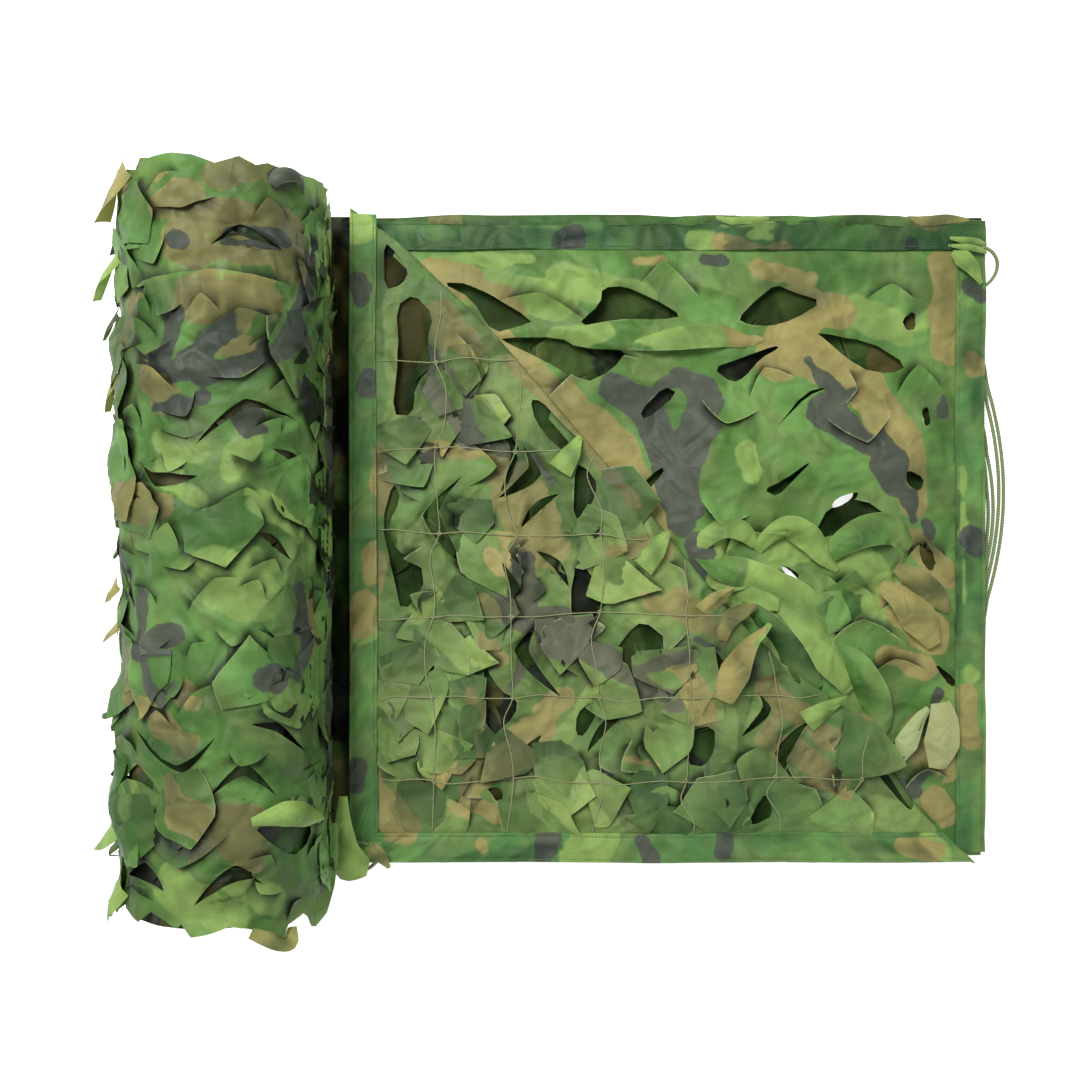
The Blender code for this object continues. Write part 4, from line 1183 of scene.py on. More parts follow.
# The same on the roll: its places are across it, along it, and the height off it
ROLL_LOOSE_LEAVES = strip_table(
    ("tan", (-83, 372, 2, 26, 0), (-112, 352, 8, 34, -20), (-135, 328, 18, 26, -40)),
    ("yellow", (-106, 292, 2, 20, 0), (-135, 276, 14, 26, -25), (-160, 256, 30, 12, -40)),
    ("dark", (-110, 236, 2, 14, 0), (-130, 224, 10, 16, -20), (-145, 212, 18, 6, -40)),
    ("tan", (-110, 178, 2, 18, 0), (-130, 160, 8, 20, -20), (-143, 140, 14, 8, -40)),
    ("tan", (-108, -30, 2, 18, 0), (-128, -42, 8, 22, -20), (-146, -54, 15, 8, -40)),
    ("tan", (-108, -72, 2, 14, 0), (-132, -86, 12, 14, -20), (-144, -94, 18, 5, -40)),
    ("deep", (-104, -150, 2, 16, 0), (-130, -164, 12, 12, -20), (-150, -168, 20, 4, -40)),
    ("yellow", (-102, -262, 2, 36, 0), (-125, -284, 10, 34, -25), (-148, -304, 26, 8, -40)),
    ("yellow", (-92, -322, 2, 30, 0), (-112, -345, 6, 34, -15), (-124, -368, 10, 10, -25)),
    ("pale", (48, -256, 4, 8, 0), (78, -252, 10, 24, 15), (98, -257, 12, 24, 15), (138, -272, 6, 3, 0)),
    ("dark", (68, 350, 2, 8, 10), (73, 359, 6, 16, 25), (84, 364, 9, 20, 35), (96, 362, 8, 18, 30),
        (103, 352, 3, 8, 10)),
    ("brown", (48, -362, 0, 10, 0), (70, -374, 4, 16, 30), (86, -380, 2, 18, 60),
        (94, -370, -4, 14, 90)),
)
# Folds of the upper-right layer, drawn tight: height, then the points of each
THIRD_FOLDS = metres((
    (4, (-72, 328), (-34, 309), (21, 267)), (3, (-1, 327), (37, 285)),
    (5, (-78, 244), (-42, 250), (3, 248), (11, 247)), (4, (14, 245), (48, 227), (72, 226)),
    (3, (-163, 326), (-148, 294)), (4, (60, 247), (127, 243), (185, 253)), (3, (39, 198), (110, 189)),
    (4, (166, 105), (182, 141)), (4, (208, 71), (253, 42), (275, 25)),
    (4, (206, 72), (176, 56), (151, 33)), (3, (207, 74), (221, 101), (241, 113)),
    (4, (278, 113), (321, 115), (334, 90)), (4, (342, 301), (362, 284), (379, 268)),
    (3, (401, 255), (409, 214)), (4, (277, 250), (300, 262), (324, 270)), (4, (190, 243), (236, 237)),
    (3, (151, 294), (202, 281), (253, 258)), (3, (82, 326), (139, 300), (190, 283)),
    (4, (334, 186), (355, 169), (383, 124)), (3, (139, 186), (151, 147), (176, 124)),
    (4, (375, -41), (383, -86), (378, -120)), (3, (344, -58), (366, -103)),
))
# Gaps that go down through all the layers to the floor
CLEAR_GAPS = metres((
    ((299, 50), (306, 58), (319, 63), (330, 65), (326, 57), (313, 49), (303, 47)),
    ((239, -17), (254, -22), (269, -38), (283, -59), (271, -55), (255, -39)),
))

# ---------------------------------------------------------------- folded layers


def wave(x, y):
    """Height of the slack in the folded layers, as in the solids."""
    ridge = np.sin(math.pi * (x + 0.6 * y) / 0.21) * np.cos(math.pi * (y - 0.4 * x) / 0.33)
    ripple = np.sin(math.pi * (x - 1.3 * y) / 0.13 + 1.0)
    calm_x = clamped((x - SEAM_X) / 0.06) * clamped((0.43 - x) / 0.06)
    calm_y = clamped((FOLD_HIGH_Y - np.abs(y)) / 0.05)
    return WAVE_HEIGHT * (0.5 + 0.32 * ridge + 0.18 * ripple) * calm_x * (0.15 + 0.85 * calm_y)


def layer_height(layer, x, y):
    return LAYER_Z[layer] + WAVE_SHARE[layer] * wave(x, y)


def bent(over, arc, reach):
    """Round a fold: how far out past its line a point lies, and how far towards the other layer."""
    angle = math.pi * clamped(over / arc)
    return reach * np.sin(angle) - np.maximum(0.0, over - arc), (1 - np.cos(angle)) / 2


# Where the crease strays from its straight line: place along it, and how far it bulges
CREASE_BULGES = metres((
    (0, 0), (40, 14), (210, 21), (360, 12), (490, 6), (620, -6), (720, 1), (797, 18), (858, 10), (920, -8),
    (1006, 0),
))
CREASE_LENGTH = math.dist(CORNER_HIGH, CORNER_FAR)
CREASE_WAY = (np.array(CORNER_FAR) - CORNER_HIGH) / CREASE_LENGTH
OUT_WAY = np.array([-CREASE_WAY[1], CREASE_WAY[0]])

# Each kind of fold: the cloth taken up in going round it, and how far it comes out
CREASE_ARC, CREASE_REACH = 0.0116, 0.0037
OUTER_ARC, OUTER_REACH = 0.026, 0.0055
INNER_ARC, INNER_REACH = 0.0105, 0.0030
OFF_FLOOR = 0.0004
TUCK = 0.018  # how far the layers run in under the roll

FACE = "Printed oxford polyester, face"
BACK = "Printed oxford polyester, back"
INNER = "Printed oxford polyester, inner folds"
BINDING = "Printed polyester binding"


def crease_bulge(place):
    stations, bulges = zip(*CREASE_BULGES)
    smooth = [np.interp(place + shift, stations, bulges) for shift in (-0.03, -0.01, 0.01, 0.03)]
    return np.mean(smooth, axis=0)


def past_crease(flat):
    """How far past the turned corner's crease each point lies, towards the far corner."""
    rel = flat - np.array(CORNER_HIGH)
    return rel @ OUT_WAY - crease_bulge(rel @ CREASE_WAY)


def crease_points(past):
    """Points along the crease, moved past it."""
    places = np.linspace(0.0, CREASE_LENGTH, 41)[:, None]
    return (CORNER_HIGH + places * CREASE_WAY + (crease_bulge(places) + past) * OUT_WAY).tolist()


def covered(flat):
    """1 where the turned corner covers the layers, 0 out in the open, with a soft change between."""
    return clamped(0.5 - past_crease(flat) / 0.03)


def place_third(flat, rise):
    x, y = flat.T
    open_air = 1 - covered(flat)
    inside_bands = clamped((np.minimum(TOP_EDGE_Y - y, END_X - x) - TAPE_WIDTH * 0.9) / 0.02)
    z = layer_height(THIRD, x, y) + rise * (0.3 + 0.7 * open_air) + 0.004 * open_air * inside_bands
    return np.column_stack([x, y, z])


def turned(y, z, line, side, arc, reach, to_z):
    """y and z of a layer that turns at a line and goes on at another height."""
    over = side * (y - line)
    out, share = bent(over, arc, reach)
    return np.where(over > 0, line + side * out, y), np.where(over > 0, z + (to_z - z) * share, z)


def place_second(flat, rise):
    x, y = flat.T
    z = layer_height(SECOND, x, y) + np.clip(rise, -0.003, 0.003)
    y, z = turned(y, z, FOLD_HIGH_Y, 1, INNER_ARC, INNER_REACH, LAYER_Z[FLOOR] + OFF_FLOOR)
    y, z = turned(y, z, FOLD_LOW_Y, -1, INNER_ARC, INNER_REACH, LAYER_Z[THIRD])
    return np.column_stack([x, y, z])


def place_floor(flat, rise):
    x, y = flat.T
    z = layer_height(FLOOR, x, y) + np.clip(rise, 0, 0.003)
    return np.column_stack([x, y, np.maximum(OFF_FLOOR, z)])


def place_top(flat, rise):
    x, y = flat.T
    z = layer_height(TOP, x, y) + np.clip(rise, -0.004, 0.003)
    y, z = turned(y, z, CORNER_FAR[1], -1, OUTER_ARC, OUTER_REACH, LAYER_Z[FLOOR] + OFF_FLOOR)
    return np.column_stack([x, y, z])


def place_flap(flat, rise):
    past = past_crease(flat)
    z = layer_height(FLAP, *flat.T) + rise
    out, share = bent(past, CREASE_ARC, CREASE_REACH)
    shift = np.where(past > 0, out - past, 0.0)
    z = np.where(past > 0, z + (layer_height(TOP, *flat.T) - z) * share, z)
    return np.column_stack([flat + shift[:, None] * OUT_WAY, z])


LAID_FLAT = (place_floor, place_second, place_third, place_top)
DEEP_LIGHT = 0.17  # how much light gets to the cloth between the layers


def random_fields(flat, seed):
    return {
        "tan": random_field(flat, (0.11, 0.15), 0.32, seed),
        "dark": random_field(flat, (0.08, 0.11), 0.50, seed + 10),
        "pale": random_field(flat, (0.10, 0.12), 0.25, seed + 20),
    }


def box_outline(low, high):
    return [low, (high[0], low[1]), high, (low[0], high[1])]


def lay_sheet(name, cloth, rise, place, material, fields, reach=0.026, open_air=1.0):
    """A sheet of cloth with its cuts opened as a mesh. open_air is how much light reaches it."""
    beside_roll = clamped((cloth.flat[:, 0] + 0.262) / 0.03) if place in LAID_FLAT else 1.0
    light = open_air * np.broadcast_to(0.10 + 0.90 * beside_roll, len(cloth.flat))
    if place is place_top:
        # Folds in the narrow gap along the roll catch some light
        gleam = clamped(soft_noise(cloth.flat, (0.013, 0.034), 8) + 0.1)
        light = light + 0.75 * (1 - beside_roll) * gleam
    brightest = np.max(open_air)
    if brightest < 1.0:
        light = light * (1 + (0.9 if brightest < 0.5 else 0.25) * soft_noise(cloth.flat, 0.03, 5))
    fields = {**fields, "open_air": light * (1 - 0.93 * cloth.shut), "rim": cloth.rim, "tone_and_shading": cloth.tone_and_shading}
    shift = cloth.open_cuts(reach)
    moved = cloth.flat + shift[:, :2]
    # It stays clear of the sheet beneath
    lift = rise + shift[:, 2]
    points = place(moved, np.where(lift < 0, 0.0042 * np.tanh(lift / 0.0042), lift))
    return add_mesh(name, points, cloth.faces, cloth.flat, material, fields)


def make_lower_layers(sizes, colours):
    """The floor and second layers, which show through the cuts above them and at the edges."""
    material = printed_cloth(INNER, colours, gloss=0.05)
    near, far = SEAM_X - TUCK, END_X
    for name, low_y, high_y, place, seed in (
        ("floor_layer", CORNER_FAR[1], FOLD_HIGH_Y, place_floor, 11),
        ("second_layer", FOLD_LOW_Y - INNER_ARC, FOLD_HIGH_Y + INNER_ARC, place_second, 12),
    ):
        low, high = (near, low_y), (far, high_y)
        outline = box_outline(low, high)
        inner_low, inner_high = (SEAM_X + 0.04, low[1] + 0.06), (high[0] - 0.06, high[1] - 0.06)
        passes = ((sizes.cut_pitch, 90.0, 0.003, 0.8, 0.012, seed),) if name == "second_layer" else ()
        cuts = filled_in([], CLEAR_GAPS, inner_low, inner_high, passes)
        cloth = Cloth(outline, cuts, CLEAR_GAPS, sizes.coarse_mesh, seed)
        rise = crumple(cloth.flat, seed, 0.0012)
        fields = random_fields(cloth.print, seed)
        obj = lay_sheet(name, cloth, rise, place, material, fields, open_air=DEEP_LIGHT)
        make_piece(obj, "garnish_cloth", "folded_net")


def make_top_layer(sizes, colours):
    material = printed_cloth(INNER, colours, gloss=0.05)
    fold_y = CORNER_FAR[1] - OUTER_ARC
    near = SEAM_X - TUCK
    edge = crease_points(-0.004)[::-1]
    outline = [(near, fold_y), (CORNER_FAR[0] - 0.006, fold_y), *edge, (near, CORNER_HIGH[1])]

    def allowed(spots):
        return past_crease(spots).max() < -0.03

    cuts = scattered_cuts((-0.21, -0.29), (0.40, 0.33), sizes.cut_pitch, 21, 90.0, 0.003, 0.8, allowed)
    cloth = Cloth(outline, cuts, [], sizes.coarse_mesh * 0.75, 21)
    rise = crumple(cloth.flat, 21, 0.0015)
    fields = random_fields(cloth.print, 24)
    # The binding above it shades it most
    x, y = cloth.flat.T
    shaded = np.exp(-((x + 0.180) / 0.045) ** 2) * clamped((y - 0.10) / 0.05)
    light = DEEP_LIGHT - 0.11 * shaded
    obj = lay_sheet("top_layer", cloth, rise, place_top, material, fields, open_air=light)
    make_piece(obj, "garnish_cloth", "folded_net")


def hand_cuts(rows):
    """The cuts of a table: the wide ones gape, and the leaves of the others overlap their neighbours."""
    gaps = [0.0012 + 2.0 * row[6] if row[6] > 0.0025 else -0.007 for row in rows]
    return [Cut(*row[:6], gap, 0.3 + 0.9 * row[7]) for row, gap in zip(rows, gaps)]


def make_third_layer(sizes, colours):
    """The layer that shows at the upper right, by its printed face, with its cuts drawn wide open."""
    material = printed_cloth(FACE, colours)
    outline = box_outline((SEAM_X - TUCK, FOLD_LOW_Y), (END_X, TOP_EDGE_Y))
    holes = [*[row[2:] for row in THIRD_HOLES], *CLEAR_GAPS]
    folds = [row[1:] for row in THIRD_FOLDS]

    def in_sight(spots):
        return past_crease(spots).min() > 0.015

    passes = ((0.085, 25.0, -0.007, 0.6, 0.014, 31), (0.060, 15.0, -0.006, 0.6, 0.012, 32))
    clear = clear_of([[*h, h[0]] for h in holes] + folds, 0.004)
    cuts = [cut for cut in hand_cuts(THIRD_CUTS) if clear(np.reshape(cut[:6], (3, 2)))]
    cuts = filled_in(cuts, [*holes, *folds], (-0.2, -0.31), (0.435, 0.335), passes, in_sight)
    cloth = Cloth(outline, cuts, holes, sizes.fine_mesh, 31, folds)
    flat = cloth.flat
    rise = cloth.lift_hole_lips([row[:2] for row in THIRD_HOLES])
    rise += cloth.draw_folds([row[0] for row in THIRD_FOLDS]) + third_relief(flat)

    def near_band(where):
        edge = np.minimum(TOP_EDGE_Y - where[:, 1], END_X - where[:, 0])
        return clamped((edge - TAPE_WIDTH * 0.8) / 0.03)

    rise *= near_band(flat)
    # Painted light: it is lighter all over, and most of all in a pool round its middle
    cloth.tone_and_shading += 0.38 + 0.62 * np.exp(-((np.linalg.norm(flat - (0.20, 0.09), axis=1) / 0.12) ** 2))
    leaves = third_leaves(holes)
    obj = lay_sheet("third_layer", cloth, rise, place_third, material, third_fields(cloth.print))
    look = material, third_fields(leaves.print)
    rise = third_relief(leaves.flat), near_band(leaves.flat)
    lay_leaves("third_layer_leaves", leaves, place_third, *look, *rise, "third_layer", "folded_net")
    # Long leaves stand clear and twist, over this layer and along the turned edge
    strips = [leaf_strip(rows) for _, *rows in LOOSE_LEAVES]
    lay_strips("loose_leaves", LOOSE_LEAVES, strips, material, "folded_net")
    make_piece(obj, "garnish_cloth", "folded_net")


def third_fields(where):
    return {
        "tan": blotch_field(where, THIRD_TAN, 41) - 0.002,
        "dark": blotch_field(where, THIRD_DARK, 43) - 0.001,
        "pale": blotch_field(where, THIRD_PALE, 45),
    }


def third_relief(flat):
    """How the upper-right layer's cloth rises and falls."""
    rise = ridges(flat, THIRD_RIDGES) + crumple(flat, 33, 0.0016)
    rise += knot_pinches(flat, THIRD_KNOTS, 34, 0.004)
    return rise + 0.007 * soft_noise(flat, (0.07, 0.05), 35)


def third_leaves(holes):
    """The large leaves of the upper-right layer, drawn out sideways."""
    size = (0.085, 0.058)

    def allowed(spots):
        tips = spots[:, :2] + size[0] * ways(spots)
        keep = clear_of_holes(holes, spots, size)
        for place in (spots[:, :2], tips):
            keep &= (past_crease(place) > 0.035) & (place[:, 0] < 0.425) & (place[:, 1] < 0.06)
        # Above that it lies smooth
        return keep & ~inside(spots[:, :2], SMOOTH_AREA)

    bearings = (-15, -30, -45, 165, 200, -75)
    spots = leaf_spots((-0.2, -0.31), (0.43, 0.335), 0.066, 0.052, bearings, 37, allowed)
    leaves = Leaves(spots, size, 0.009, 38)
    leaves.tone_and_shading += 0.34
    return leaves


LEAF_TINT = {
    "green": 0.5, "deep": -0.5, "shaded": -0.9, "pale": 0.4,
    "yellow": 0.7, "tan": 0.5, "brown": -0.3, "dark": 0.0,
}
# How far a leaf is painted in the pale edge colour: painted light where it catches bright light
LIT_PALE_LEAVES = {"cream": 0.8, "bare": 1.0}


def lay_strips(name, table, parts, material, node):
    """Leaf strips as one piece, each in its own colour of the print."""
    points, faces, flat = joined(parts)
    counts = [len(part[0]) for part in parts]
    own = np.repeat([row[0] for row in table], counts)
    fields = random_fields(flat + 0.7 * np.repeat(np.arange(len(parts)), counts)[:, None], 361)
    fields["tan"] = np.where(np.isin(own, ("tan", "brown", "cream")), 0.01, fields["tan"] - 0.02)
    fields["pale"] = np.where(np.isin(own, ("pale", "yellow")), 0.01, fields["pale"])
    fields["pale"] = np.where(np.isin(own, ("deep", "shaded")), -0.01, fields["pale"])
    fields["dark"] = np.where(own == "dark", 0.01, fields["dark"] - 0.02)
    share = np.concatenate([part[2][:, 0] / part[2][-1, 0] for part in parts])
    fields["tone_and_shading"] = np.array([LEAF_TINT.get(kind, 1.0) for kind in own])
    fields["tone_and_shading"] += 0.5 * np.sin(9.0 * share + 2.0 * flat[:, 1] / 0.02)
    at_edge = np.tile(np.abs(STRIP_ACROSS) == 1, len(points) // len(STRIP_ACROSS))
    fields["rim"] = np.maximum(at_edge, [LIT_PALE_LEAVES.get(kind, 0.0) for kind in own])
    fields["open_air"] = np.ones(len(points))
    obj = add_mesh(name, points, faces, flat, material, fields)
    make_piece(obj, "garnish_cloth", node)


def ridges(flat, rows):
    """Listed folds: from one point to another, with a height and a half width."""
    rise = np.zeros(len(flat))
    for x0, y0, x1, y1, height, width in rows:
        away = segment_distance(flat, (x0, y0), (x1, y1))
        rise += height * np.exp(-((away / width) ** 2))
    return rise


def lay_leaves(name, leaves, place, material, fields, relief, loose, rests_on, node):
    """The leaves of one layer as one piece. relief is how the cloth below them rises and falls, and loose
    is 0 where they are held down and 1 away from there."""
    points = place(leaves.flat, (leaves.rise + relief) * loose)
    fields = {**fields, "rim": leaves.rim, "tone_and_shading": leaves.tone_and_shading}
    obj = add_mesh(name, points, leaves.faces, leaves.flat, material, fields)
    make_piece(obj, "garnish_cloth", node)
    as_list(rests_on)


# Places on a leaf, in shares of its length and width
LEAF_SHAPE = ((0.1, 0.0), (0.3, 0.0), (0.3, 0.3), (0.3, -0.3), (0.6, 0.25), (0.6, -0.25), (0.9, 0.0))


def clear_of_holes(holes, spots, size):
    """Which leaves don't lie over an opening."""
    way = ways(spots)
    side = np.column_stack([-way[:, 1], way[:, 0]])
    keep = np.ones(len(spots), bool)
    for hole in holes:
        for along, across in LEAF_SHAPE:
            keep &= ~inside(spots[:, :2] + along * size[0] * way + across * size[1] * side, hole)
    return keep


def clear_of_cuts(cuts, spots, reach, room):
    """Which leaves leave these cuts in sight."""
    lines = np.array([p for cut in cuts for p in cut_line(cut, 0.006)])
    way = ways(spots)
    keep = np.ones(len(spots), bool)
    for share in (0.3, 0.8):
        at = spots[:, :2] + share * reach * way
        keep &= np.linalg.norm(at[:, None] - lines[None], axis=-1).min(axis=1) > room
    return keep


def make_flap(sizes, colours):
    """The turned corner, which shows the back of its cloth."""
    material = printed_cloth(BACK, colours, 0.86)
    edge = crease_points(CREASE_ARC + 0.012)
    outline = [(CORNER_HIGH[0], CORNER_FAR[1]), (CORNER_FAR[0] + 0.012, CORNER_FAR[1]), *edge[::-1][1:-1]]
    outline += [(CORNER_HIGH[0], CORNER_HIGH[1] + 0.01)]
    holes = [row[2:] for row in FLAP_HOLES]
    drawn_cuts = hand_cuts(FLAP_CUTS)

    def on_corner(spots):
        return past_crease(spots).max() < -0.010

    passes = ((0.056, 90.0, -0.008, 0.8, 0.010, 52), (0.040, 80.0, -0.007, 0.8, 0.008, 56))
    cuts = filled_in(drawn_cuts, holes, (-0.213, -0.318), (0.42, 0.34), passes, on_corner)
    cloth = Cloth(outline, cuts, holes, sizes.fine_mesh, 51)
    flat = cloth.flat
    rise = cloth.lift_hole_lips([row[:2] for row in FLAP_HOLES])
    rise = (rise + flap_relief(flat)) * clamped((corner_room(flat) - TAPE_WIDTH * 0.8) / 0.025)
    leafy = clamped((corner_room(flat) - TAPE_WIDTH) / 0.03)
    leafy *= clamped((-past_crease(flat) - 0.015) / 0.03)
    leaves = flap_leaves(holes, [cut for cut in drawn_cuts if cut.gap > 0])
    light = 1.0 - leafy * (0.10 + 0.85 * leaves.gaps_below(flat))
    cloth.tone_and_shading += 0.20 * leafy
    fields = flap_fields(cloth.print)
    obj = lay_sheet("turned_corner", cloth, rise, place_flap, material, fields, open_air=light)
    make_piece(obj, "garnish_cloth", "folded_net")
    look = material, flap_fields(leaves.print)
    rise = flap_relief(leaves.flat), clamped((corner_room(leaves.flat) - TAPE_WIDTH * 0.75) / 0.02)
    name, below = "turned_corner_leaves", "turned_corner"
    lay_leaves(name, leaves, place_on_corner, *look, *rise, below, "folded_net")


def corner_room(flat):
    """How far inside the turned corner's two sewn edges a point is."""
    return np.minimum(flat[:, 0] - CORNER_HIGH[0], flat[:, 1] - CORNER_FAR[1])


def place_on_corner(flat, rise):
    return np.column_stack([flat, layer_height(FLAP, *flat.T) + rise])


def flap_fields(where):
    return {
        "tan": blotch_field(where, FLAP_TAN, 61) - 0.002,
        "dark": blotch_field(where, FLAP_DARK, 63) - 0.0025,
        "pale": blotch_field(where, FLAP_PALE, 65),
    }


def flap_relief(flat):
    """How the turned corner's cloth rises and falls."""
    rise = crumple(flat, 53, 0.0045) + knot_pinches(flat, TWINE_KNOTS, 54, 0.004)
    return rise + ridges(flat, FLAP_RIDGES) + 0.005 * soft_noise(flat, (0.035, 0.045), 55)


def flap_leaves(holes, cuts):
    """The leaves of the turned corner, most of them pointing to its low side, some to either side."""

    def allowed(spots):
        tips = spots[:, :2] + 0.045 * ways(spots)
        keep = clear_of_holes(holes, spots, (0.048, 0.034)) & clear_of_cuts(cuts, spots, 0.05, 0.014)
        keep &= clear_of_cuts([cut for cut in cuts if cut.gap > 0.0085], spots, 0.05, 0.025)
        past = past_crease(tips) + np.where(tips[:, 0] < 0.08, 0.012, -0.010)
        keep &= (past_crease(spots[:, :2]) < -0.022) & (past < 0)
        for place in (spots, tips):
            keep &= (place[:, 0] > -0.208) & (place[:, 1] > -0.318)
        return keep

    bearings = (-90, -90, -75, -105, -35, -145, 0, 180)
    spots = leaf_spots((-0.215, -0.32), (0.42, 0.34), 0.038, 0.033, bearings, 57, allowed)
    leaves = Leaves(spots, (0.062, 0.054), 0.009, 58)
    leaves.tone_and_shading += 0.26
    return leaves


# ---------------------------------------------------------------- roll


def roll_place(radius, squeeze=0.0):
    """A placing function for cloth wound on the roll. Across, 0 is the roll's crest and + is towards the
    loose end; it lies flat where it meets the surface."""

    def place(flat, rise):
        angle = math.pi / 2 - flat[:, 0] / ROLL_RADIUS
        low = clamped((ROLL_AXIS_Z + radius * np.sin(angle) - 0.004) / 0.03)
        # On the side of the loose end it is drawn in
        drawn_in = 0.010 * clamped((flat[:, 0] - 0.06) / 0.09) * low
        reach = radius + rise * low - drawn_in
        x = ROLL_X + reach * np.cos(angle)
        z = np.maximum(squeeze + 0.0006, ROLL_AXIS_Z + reach * np.sin(angle))
        return np.column_stack([x, flat[:, 1], z])

    return place


def ragged_rim(side, start, stop, tips, seed):
    """Points along one end of the roll's cloth: listed tips where they show, others at random."""
    rng = np.random.default_rng(seed)
    points = list(tips)
    first, last = tips[0][0], tips[-1][0]
    base = ROLL_HIGH_Y if side > 0 else ROLL_LOW_Y
    for low, high in ((start, first - 0.02), (last + 0.02, stop)):
        u = low
        while u < high:
            points.append((u, base + side * rng.uniform(-0.010, 0.009)))
            u += rng.uniform(0.012, 0.030)
    return sorted(points, reverse=side > 0)


# Where its outer turn starts and stops, across it from its crest
ROLL_START = -0.336
ROLL_STOP = 0.2493
OUTER_TURN = ROLL_RADIUS + 0.001
LINING_LIGHT, CORE_LIGHT = 0.22, 0.12  # how much light gets to the turns inside
WOUND_DEPTH = 0.055  # how far in from each end its wound edges are modelled


def make_roll_skin(sizes, colours):
    material = printed_cloth(FACE, colours)
    high = ragged_rim(1, ROLL_START, ROLL_STOP, ROLL_HIGH_RIM, 71)
    low = ragged_rim(-1, ROLL_START, ROLL_STOP, ROLL_LOW_RIM, 72)
    gaps = [0.001 + row[6] if row[6] > 0.0045 else -0.005 for row in ROLL_CUTS]
    cuts = [Cut(*row[:6], gap, 0.25 + 0.7 * row[7]) for row, gap in zip(ROLL_CUTS, gaps)]
    cuts += [Cut(-0.20, v, -0.170, v - size, -0.132, v + 0.006, -0.004, 0.9) for v, size in ROLL_TIPS]
    holes = [row[2:] for row in ROLL_HOLES]
    near, far = (ROLL_START + 0.01, ROLL_LOW_Y + 0.012), (ROLL_STOP - 0.01, ROLL_HIGH_Y - 0.012)
    passes = ((0.048, 5.0, -0.006, 0.6, 0.010, 73), (0.036, -10.0, -0.005, 0.6, 0.008, 76))
    cuts = filled_in(cuts, holes, near, far, passes)
    cloth = Cloth([*low, *high], cuts, holes, sizes.fine_mesh, 74)
    flat = cloth.flat
    rise = cloth.lift_hole_lips([row[:2] for row in ROLL_HOLES]) + roll_relief(flat)
    fields = roll_fields(cloth.print, flat)
    cloth.tone_and_shading += 0.28 - 0.5 * (fields["tan"] > 0)
    cloth.rim *= 0.6
    leaves = roll_leaves(holes, [Cut(*row) for row in ROLL_CUTS])
    light = 0.84 - 0.83 * leaves.gaps_below(flat)
    obj = lay_sheet("roll_skin", cloth, rise, roll_place(OUTER_TURN), material, fields, 0.030, light)
    make_piece(obj, "garnish_cloth", "net_roll")
    # The leaves lie close on the side that faces the folded net
    fields = roll_fields(leaves.print, leaves.flat)
    leaves.tone_and_shading -= 0.45 * (fields["tan"] > 0)
    rise = roll_relief(leaves.flat), 1.0 - 0.65 * clamped((leaves.flat[:, 0] - 0.065) / 0.04)
    place = roll_place(OUTER_TURN + 0.0005)
    lay_leaves("roll_leaves", leaves, place, material, fields, *rise, "roll_skin", "net_roll")
    make_roll_loose_leaves(material)


def roll_fields(where, flat):
    """The roll's print: listed where it faces up, at random elsewhere."""
    unseen = random_fields(where, 81)
    aside = clamped((np.abs(flat[:, 0]) - 0.135) / 0.02)
    hand = {"tan": ROLL_TAN, "dark": ROLL_DARK, "pale": ROLL_PALE}
    return {
        key: np.maximum(blotch_field(where, rows, 85 + 3 * n), unseen[key] - 0.06 * (1 - aside))
        for n, (key, rows) in enumerate(hand.items())
    }


def roll_relief(flat):
    """How the cloth of the roll's outer turn rises and falls."""
    rise = 0.0045 * soft_noise(flat, (0.075, 0.065), 75) + 0.002 * soft_noise(flat, (0.03, 0.03), 76)
    rise += crumple(flat, 77, 0.0042) + ridges(flat, ROLL_RIDGES)
    pulled = clamped((flat[:, 0] - 0.09) / 0.05)
    rise *= 1 - 0.5 * pulled
    return rise + pulled * 0.0035 * (1 - np.abs(soft_noise(flat, (0.010, 0.16), 78))) ** 3


def roll_leaves(holes, cuts):
    """The leaves of the roll's outer turn, pointing along it either way."""
    reach = 0.062

    def allowed(spots):
        keep = clear_of_holes(holes, spots, (reach, 0.04)) & clear_of_cuts(cuts, spots, reach, 0.013)
        for end in (spots[:, 1], spots[:, 1] + reach * np.sin(spots[:, 2])):
            keep &= (end > ROLL_LOW_Y - 0.002) & (end < ROLL_HIGH_Y)
        return keep

    bearings = (-90, -90, -90, -60, -120, 90, 90)
    low, high = (ROLL_START + 0.03, ROLL_LOW_Y), (ROLL_STOP - 0.02, ROLL_HIGH_Y)
    spots = leaf_spots(low, high, 0.048, 0.042, bearings, 87, allowed)
    # The upper third of its top lies smoother
    smooth = (spots[:, 1] > 0.12) & (np.abs(spots[:, 0]) < 0.09)
    leaves = Leaves(spots, (reach, 0.060), 0.007, 88, np.where(smooth, 0.3, 0.75))
    leaves.tone_and_shading += 0.30
    return leaves


def make_roll_loose_leaves(material):
    """The leaves that stand out from the roll and curl."""

    def outward(points):
        return unit((points - (ROLL_X, 0.0, ROLL_AXIS_Z)) * (1.0, 0.0, 1.0))

    parts = []
    for _, *stations in ROLL_LOOSE_LEAVES:
        rows = np.array(stations)
        place = roll_place(OUTER_TURN)(rows[:, :2], rows[:, 2])
        parts.append(leaf_strip(np.column_stack([place, rows[:, 3:]]), outward))
    lay_strips("roll_loose_leaves", ROLL_LOOSE_LEAVES, parts, material, "net_roll")


